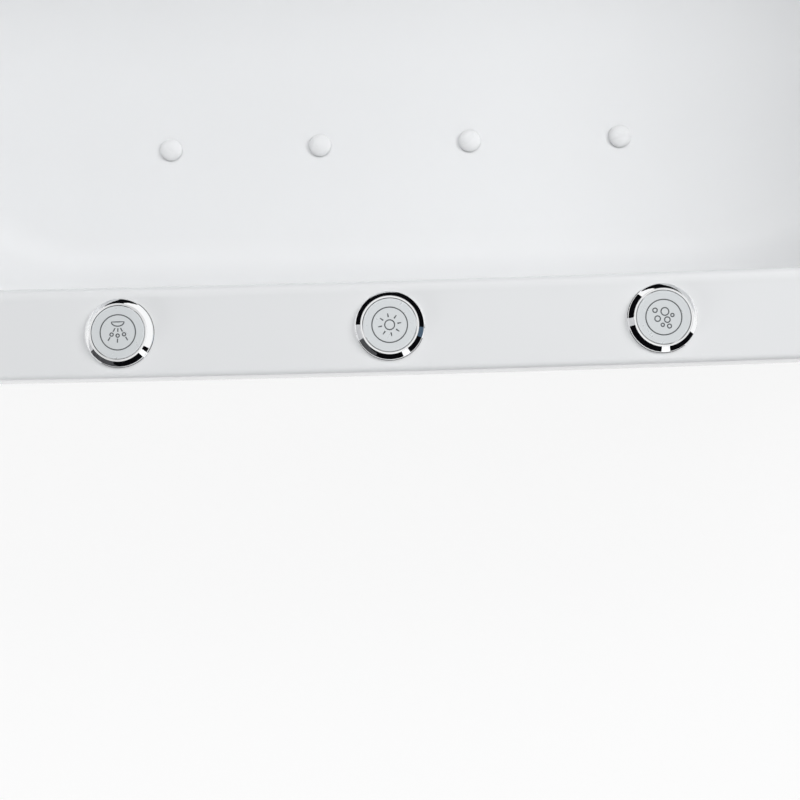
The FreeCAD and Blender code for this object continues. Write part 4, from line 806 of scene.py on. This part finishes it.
def cap_profile():
    """Plunger and round face with an eased edge."""
    plunger, edge, plate = 16.4, 0.3, CAP_HEIGHT - 2
    return [
        (0, PLUNGER_END), (plunger, PLUNGER_END), (plunger, plate), (CAP_RADIUS, plate),
        (CAP_RADIUS, CAP_HEIGHT - edge), *arc_points((CAP_RADIUS - edge, CAP_HEIGHT - edge), edge, 15, 90, 5),
        (CAP_RADIUS - 1.5, CAP_HEIGHT), (0, CAP_HEIGHT),
    ]


def bellows_profile():
    """Three soft folds between the housing floor and the plunger, closed at the top."""
    folds, crest, depth, wall, lid, gap = 3, 13, 3, 1.4, 1.5, 0.05
    foot, top = HOUSING_FLOOR + gap, PLUNGER_END - gap
    outside = []
    for share in angles(0, 1, 48):
        swell = 0.5 - 0.5 * math.cos(2 * math.pi * folds * share)
        outside.append((crest - depth * (1 - swell), foot + (top - foot) * share))
    inside = [(radius - wall, height) for radius, height in outside if height < top - lid]
    return [*outside, (0, top), (0, top - lid), (inside[-1][0], top - lid), *inside[::-1]]


bezel_mesh = turned_fitting(bezel_profile(), ease=0, segments=160)
bezels = set_out("button_bezels", bezel_mesh, list(button_spots.values()), "chrome")
dress(bezels, "tub", "chrome", *(f"button_bezel_{name}" for name in BUTTONS))
for name, place in button_spots.items():
    cap = turned_piece(f"button_face_{name}", cap_profile(), place, ease=0, segments=160)
    dress(cap, f"{name}_button", "satin_steel", f"button_cap_{name}")
    folds = turned_piece(f"button_folds_{name}", bellows_profile(), place, ease=0, segments=64)
    dress(folds, "tub", "black_rubber", f"button_bellows_{name}")
    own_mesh(folds)


# Signs printed on the buttons: each is a list of lines, a line being its points and whether it closes.
# A point is x and y in millimetres and a share of the stroke's width.
RING, STROKE, INK_HEIGHT, INK_LIFT = 12.65, 0.84, 0.06, 0.02


def round_line(x, y, radius, steps=72):
    """A closed circle."""
    points = []
    for step in range(steps):
        turn = 2 * math.pi * step / steps
        points.append((x + radius * math.cos(turn), y + radius * math.sin(turn), 1))
    return points, True


def dash(x0, y0, x1, y1, start=1.0, stop=1.0):
    """A straight line whose width may taper."""
    middle = ((x0 + x1) / 2, (y0 + y1) / 2, (start + stop) / 2)
    return [(x0, y0, start), middle, (x1, y1, stop)], False


def jets_sign():
    """A nozzle head seen from the side, with drops on three streams."""
    top, half, sag, drop = 7.5, 4.5, 3.1, 1.17
    head = [(-half, top, 1), (0, top, 1), (half, top, 1)]
    head += [(half * math.cos(math.radians(angle)), top + sag * math.sin(math.radians(angle)), 1)
             for angle in angles(-12, -168, 18)]
    lines = [round_line(0, 0, RING), (head, True)]
    for lean in (-1, 1):
        lines.append(dash(1.9 * lean, 3.05, 3.4 * lean, 0.5))
        lines.append(round_line(4.45 * lean, -1.5, drop, 32))
        lines.append(dash(5.5 * lean, -3.35, 7.05 * lean, -5.85))
    lines.append(dash(0.1, 2.9, 0, 0.3))
    lines.append(round_line(-0.1, -2.35, drop, 32))
    lines.append(dash(-0.2, -4.5, -0.35, -7.4))
    return lines


def light_sign():
    """A sun with eight tapering rays."""
    lines = [round_line(0, 0, RING), round_line(0, 0, 3.5)]
    inner, outer, thick, thin, lean = 5.55, 8.35, 1.35, 0.75, 9
    for ray in range(8):
        turn = math.radians(45 * ray + lean)
        ux, uy = math.cos(turn), math.sin(turn)
        lines.append(dash(inner * ux, inner * uy, outer * ux, outer * uy, thick, thin))
    return lines


def bubbles_sign():
    """Rising bubbles of several sizes."""
    lines = [round_line(0, 0, RING)]
    for x, y, radius in (
        (-6.0, 5.0, 1.55), (0.9, 4.0, 2.75), (6.1, 1.3, 1.15), (-4.4, -1.0, 1.95), (2.4, -1.9, 1.95),
        (-1.0, -5.5, 1.15), (3.7, -6.5, 1.4),
    ):
        lines.append(round_line(x, y, radius, 48))
    return lines


def printed_sign(name, lines, place):
    """The lines of a sign as ink on the face of a button."""
    curve = bpy.data.curves.new(name, "CURVE")
    curve.dimensions = "3D"
    ink_level = (CAP_HEIGHT + INK_LIFT) * MM
    for points, closed in lines:
        spline = curve.splines.new("POLY")
        spline.points.add(len(points) - 1)
        for point, (x, y, width) in zip(spline.points, points):
            point.co = (x * MM, y * MM, ink_level, 1)
            point.radius = width
        spline.use_cyclic_u = closed
    ink = {"Stroke": STROKE * MM, "Ink height": INK_HEIGHT * MM, "Ink": INK}
    piece = grown(name, new_piece("lines", curve), PRINTED_STROKES, ink)
    piece.data.transform(place)
    return piece


for name, lines in (("jets", jets_sign()), ("light", light_sign()), ("bubbles", bubbles_sign())):
    sign = printed_sign(f"button_sign_{name}", lines, button_spots[name])
    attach(sign, f"{name}_button")


# Fittings in the well

def air_cap_profile():
    """A low dome with a thin gap under its rim, where the air comes out."""
    radius, height, rim = 12.5, 7, 1.7
    dome = dome_points(radius, rim, height - rim, reach=84, steps=20)
    return [(0, 0), (10, 0), (10, 0.9), (12.1, 0.9), (12.4, 1.3), *dome, (0, height)]


air_cap = turned_fitting(air_cap_profile(), ease=0, segments=64)
air_caps = set_out("air_jet_domes", air_cap, air_spots, "white_plastic")
dress(air_caps, "tub", "white_plastic", "air_jet_caps")

jet_flange = turned_fitting([
    (17, 0.3), (33, 0.3), (33, 1.6), (32.4, 2.3), (28, 5.2), (24, 6.4), (20, 7), (15.6, 7), (15.2, 6.6),
], ease=0.5)
jet_rims = set_out("water_jet_rims", jet_flange, list(jet_spots.values()), "chrome")
dress(jet_rims, "tub", "chrome", "water_jet_flanges")
ball_round = arc_points((0, 0), radius=16, start=-40, stop=45, steps=22)
ball_section = [(6.4, -10.28), *ball_round, (9.2, 11.31), (6.4, 8.8)]
for name, place in jet_spots.items():
    ball = turned_piece(f"jet_ball_{name}", ball_section, place, ease=0.25, segments=80)
    dress(ball, f"{name}_nozzle", "chrome", f"jet_nozzle_{name}")

drain_rim = turned_piece("drain_rim", [
    (24, -24), (26, -24), (26, 0), (34, 0), (34, 0.6), (32, 1.6), (29, 2.4), (25.5, 2.4), (24, 0.9),
], drain_spot, ease=0.3)
dress(drain_rim, "tub", "chrome", "drain_flange")
plug_crown = dome_points(radius=20, base=4.2, rise=0.6, reach=80, steps=8)
plug = turned_piece("drain_stopper", [
    (0, -42), (5, -42), (5, -1), (23.4, 0.5), (23.4, 2.6), (22.4, 3.3), *plug_crown, (0, 4.8),
], drain_spot, ease=0)
dress(plug, "plug", "chrome_brass", "drain_plug")

light_rim = turned_piece("light_rim", [
    (18.4, 0.3), (26, 0.3), (26, 1.5), (24.4, 2.7), (22.4, 3.5), (18.4, 3.5),
], light_spot, ease=0.3)
dress(light_rim, "tub", "chrome", "light_ring")
lens = turned_piece("light_window", [
    (0, -4), (18, -4), (18, 2.5), (16, 3.4), (13, 4), (7, 4.3), (0, 4.4),
], light_spot, ease=0.2)
dress(lens, "tub", "lens", "light_lens")


def slots_around(count, reach, half_length, half_width, low, high):
    """Cutters of radial slots, repeated around Z."""
    work = bmesh.new()
    for step in range(count):
        turn = Matrix.Rotation(2 * math.pi * step / count, 4, "Z")
        size = Matrix.Diagonal((2 * half_length * MM, 2 * half_width * MM, (high - low) * MM, 1))
        shift = Matrix.Translation(Vector((reach, 0, (low + high) / 2)) * MM)
        bmesh.ops.create_cube(work, size=1, matrix=turn @ shift @ size)
    return mesh_of("slots", work)


strainer = turned_piece("suction_grille", [
    (0, -24), (5, -24), (5, 5.8), (26, 5.6), (36, 2), (36, 0.3),
    (40, 0.3), (40, 3), (36, 5.2), (28, 8), (14, 8.8), (0, 9),
], Matrix.Identity(4), ease=0.3)
cut_out(strainer, slots_around(count=12, reach=21, half_length=11, half_width=1.6, low=1, high=12))
strainer.data.transform(suction_spot)
keep_sharp(strainer.data)
dress(strainer, "tub", "chrome", "suction_cover")

spill_cap = turned_piece("overflow_cap", [
    (0, -37), (4, -37), (4, 8), (26, 7.4), (30, 4.5), (30, 0.3),
    (32, 0.3), (32, 6), (30.5, 8.2), (27, 9.6), (14, 10.2), (0, 10.4),
], Matrix.Identity(4), ease=0.3)
cut_out(spill_cap, slots_around(count=1, reach=31, half_length=5, half_width=14, low=-0.2, high=4.2))
spill_cap.data.transform(overflow_spot @ Matrix.Rotation(math.pi / 2, 4, "Z"))
keep_sharp(spill_cap.data)
dress(spill_cap, "tub", "chrome", "overflow_cover")

# The other pieces keep their solids and get the finish of their slot
for name, node in nodes.items():
    if not node.hide_render:
        node.data.materials.clear()
        node.data.materials.append(FINISHES[slot_of[name]])


# Studio: a pale floor, soft light and screens that show only in the chrome

def any_ray(tree, *rays):
    """One where a ray is of any of the named kinds."""
    path = add_node(tree, "ShaderNodeLightPath")
    seen = path.outputs[rays[0]]
    for ray in rays[1:]:
        either = add_node(tree, "ShaderNodeMath", operation="MAXIMUM")
        tree.links.new(seen, either.inputs[0])
        tree.links.new(path.outputs[ray], either.inputs[1])
        seen = either.outputs[0]
    return seen


def seen_white(tree, shader, white, share=None):
    """Mix a shader with the white that camera, glossy and transmission rays see, or a share of it."""
    seen = any_ray(tree, "Is Camera Ray", "Is Glossy Ray", "Is Transmission Ray")
    if share is not None:
        part = add_node(tree, "ShaderNodeMath", operation="MULTIPLY")
        tree.links.new(seen, part.inputs[0])
        tree.links.new(share, part.inputs[1])
        seen = part.outputs[0]
    mix = add_node(tree, "ShaderNodeMixShader")
    tree.links.new(seen, mix.inputs[0])
    tree.links.new(shader.outputs[0], mix.inputs[1])
    tree.links.new(white.outputs[0], mix.inputs[2])
    return mix


def stage_strip(name, pairs, material):
    """A stage surface through pairs of points."""
    points = [point for pair in pairs for point in pair]
    faces = [(at, at + 2, at + 3, at + 1) for at in range(0, len(points) - 2, 2)]
    mesh = bpy.data.meshes.new(name)
    mesh.from_pydata(points, [], faces)
    mesh.materials.append(material)
    strip = new_piece(name, mesh)
    return strip


def studio_floor():
    """A pale floor that holds the shadow near the tub and fades to white farther out."""
    material, tree, shader = new_material("studio_floor")
    set_inputs(shader, {"Base Color": (0.95, 0.95, 0.95, 1), "Roughness": 0.8})
    white = add_node(tree, "ShaderNodeEmission", {"Strength": 1.0})
    place = add_node(tree, "ShaderNodeTexCoord")
    distance = add_node(tree, "ShaderNodeVectorMath", operation="LENGTH")
    share = add_node(
        tree, "ShaderNodeMapRange", {"From Min": 0.5, "From Max": 4.0, "To Min": 0.88, "To Max": 1.0},
        interpolation_type="SMOOTHSTEP",
    )
    tree.links.new(place.outputs["Object"], distance.inputs[0])
    tree.links.new(distance.outputs["Value"], share.inputs["Value"])
    mix = seen_white(tree, shader, white, share.outputs["Result"])
    tree.links.new(mix.outputs[0], tree.nodes["Material Output"].inputs["Surface"])
    half = 80
    stage_strip("studio_floor", [[(x, y, 0) for y in (half, -half)] for x in (-half, half)], material)


def studio_world():
    """Weak light from all round; camera rays see white, and glossy ones a ceiling with a greyer band."""
    world = bpy.data.worlds.new("studio")
    bpy.context.scene.world = world
    world.use_nodes = True
    tree = world.node_tree
    light = tree.nodes["Background"]
    set_inputs(light, {"Color": (0.95, 0.975, 1.0, 1), "Strength": 0.26})
    white = add_node(tree, "ShaderNodeBackground", {"Strength": 1.0})
    direction = add_node(tree, "ShaderNodeTexCoord")
    overhead = Vector((0.06, 0, 1)).normalized()
    height = add_node(tree, "ShaderNodeVectorMath", {1: overhead}, operation="DOT_PRODUCT")
    ceiling = add_node(tree, "ShaderNodeValToRGB")
    stops = ceiling.color_ramp.elements
    stops[0].position, stops[1].position = 0.0, 0.72
    stops[0].color = stops[1].color = (1, 1, 1, 1)
    for rise, tone in ((0.86, 0.73), (0.94, 0.7), (0.985, 1.0)):
        stops.new(rise).color = (tone, tone, tone, 1)
    backdrop = add_node(tree, "ShaderNodeMath", operation="MAXIMUM")
    tree.links.new(direction.outputs["Generated"], height.inputs[0])
    tree.links.new(height.outputs["Value"], ceiling.inputs["Fac"])
    tree.links.new(ceiling.outputs["Color"], backdrop.inputs[0])
    tree.links.new(any_ray(tree, "Is Camera Ray", "Is Transmission Ray"), backdrop.inputs[1])
    tree.links.new(backdrop.outputs[0], white.inputs["Color"])
    mix = seen_white(tree, light, white)
    tree.links.new(mix.outputs[0], tree.nodes["World Output"].inputs["Surface"])


def screen_material(name, shade, glow):
    """A screen for mirror-sharp reflections that glows by the given amount as a painted highlight there; all
    other rays pass through it.
    """
    material, tree, shader = new_material(name)
    set_inputs(shader, {
        "Base Color": (*shade, 1), "Roughness": 0.9, "Specular IOR Level": 0,
        "Emission Color": (1, 1, 1, 1), "Emission Strength": glow,
    })
    clear = add_node(tree, "ShaderNodeBsdfTransparent")
    mix = add_node(tree, "ShaderNodeMixShader")
    tree.links.new(any_ray(tree, "Is Singular Ray"), mix.inputs[0])
    tree.links.new(clear.outputs[0], mix.inputs[1])
    tree.links.new(shader.outputs[0], mix.inputs[2])
    tree.links.new(mix.outputs[0], tree.nodes["Material Output"].inputs["Surface"])
    return material


# Flags around the buttons: from and to in degrees round Z, low and high in degrees above the deck, shade
BLACK, SLATE, SILVER, BLUE = (0.004, 0.004, 0.005), (0.1, 0.1, 0.105), (0.8, 0.8, 0.81), (0.1, 0.15, 0.21)
WHITE = (0.95, 0.95, 0.95)
FLAGS = (
    (3, 20, 4, 18, BLACK),
    (20, 45, -3, 14, BLACK),
    (45, 66, -3, 11, BLACK),
    (66, 88, -3, 9, BLACK),
    (88, 116, -3, 8.5, BLACK),
    (116, 170, -3, 27, BLACK),
    (170, 189, -3, 33, SILVER),
    (189, 197, -3, 17, SILVER),
    (189, 197, 17, 33, BLACK),
    (197, 240, -3, 18.5, SLATE),
    (197, 240, 18.5, 33, BLACK),
    (240, 277, -3, 14, SLATE),
    (240, 277, 14, 33, BLACK),
    (277, 329, -3, 33, BLACK),
    (329, 344, -3, 20, BLACK),
    (344, 363, 6, 18, BLUE),
)
FLAG_REACH, FLAG_STEP = 2.6, 4
# The bright card glows as a painted highlight in the chrome and stands near the buttons: its place from the
# middle one, its width and its heights, in metres
CARD_PLACE, CARD_WIDTH, CARD_HEIGHTS = Vector((0.331, -0.529, 0)), 0.165, (0.1, 0.6)


def only_reflected(name, pairs, shade, glow=0.0):
    """A screen that shows only in reflections and holds back no light."""
    strip = stage_strip(name, pairs, screen_material(name, shade, glow))
    strip.visible_camera = False
    strip.visible_diffuse = False
    strip.visible_shadow = False


def reflected_screens():
    """Dark flags around the tub and a glowing card near its buttons, a painted highlight for the chrome."""
    middle = Vector((0, button_line * MM, HEIGHT * MM))
    for start, stop, low, high, shade in FLAGS:
        pairs = []
        for turn in angles(start, stop, math.ceil((stop - start) / FLAG_STEP)):
            out = Vector((math.cos(math.radians(turn)), math.sin(math.radians(turn)), 0))
            rises = [Vector((0, 0, math.tan(math.radians(rise)))) for rise in (low, high)]
            pairs.append([middle + FLAG_REACH * (out + rise) for rise in rises])
        only_reflected("flag", pairs, shade)
    half = Vector((-CARD_PLACE.y, CARD_PLACE.x, 0)).normalized() * CARD_WIDTH / 2
    # The card glows at half strength: a painted highlight that shows only in the chrome
    only_reflected("bright_card", [
        [middle + CARD_PLACE + edge + Vector((0, 0, rise)) for rise in CARD_HEIGHTS] for edge in (-half, half)
    ], WHITE, glow=0.5)


def soft_box(name, centre, target, width, depth, power):
    """A soft lamp aimed at a target, left out of reflections; metres and watts."""
    lamp = bpy.data.lights.new(name, "AREA")
    lamp.shape = "RECTANGLE"
    lamp.size, lamp.size_y = width, depth
    lamp.energy = power
    holder = bpy.data.objects.new(name, lamp)
    bpy.context.scene.collection.objects.link(holder)
    holder.location = centre
    holder.rotation_euler = (Vector(target) - Vector(centre)).to_track_quat("-Z", "Y").to_euler()
    holder.visible_glossy = False


studio_floor()
studio_world()
reflected_screens()
soft_box("overhead", centre=(-0.2, 1.6, 3.6), target=(0, -0.15, 0.4), width=2.4, depth=1.8, power=54)
soft_box("right", centre=(2.6, 0.4, 2.6), target=(0, -0.1, 0.4), width=1.3, depth=1.3, power=54)
soft_box("fill", centre=(-3.4, -3.2, 1.3), target=(0, 0, 0.3), width=2.6, depth=1.8, power=75)

# Camera above the button side, looking almost straight down: metres and degrees
CAMERA_PLACE, CAMERA_TURNS = (0.0196, -0.4763, 1.3685), (4.03, 1.1, -1.46)
lens_data = bpy.data.cameras.new("camera")
lens_data.lens = 50
lens_data.sensor_width = 36
camera = bpy.data.objects.new("camera", lens_data)
bpy.context.scene.collection.objects.link(camera)
camera.location = CAMERA_PLACE
camera.rotation_euler = Euler([math.radians(turn) for turn in CAMERA_TURNS])
bpy.context.scene.camera = camera
bpy.context.scene.view_settings.view_transform = "Standard"
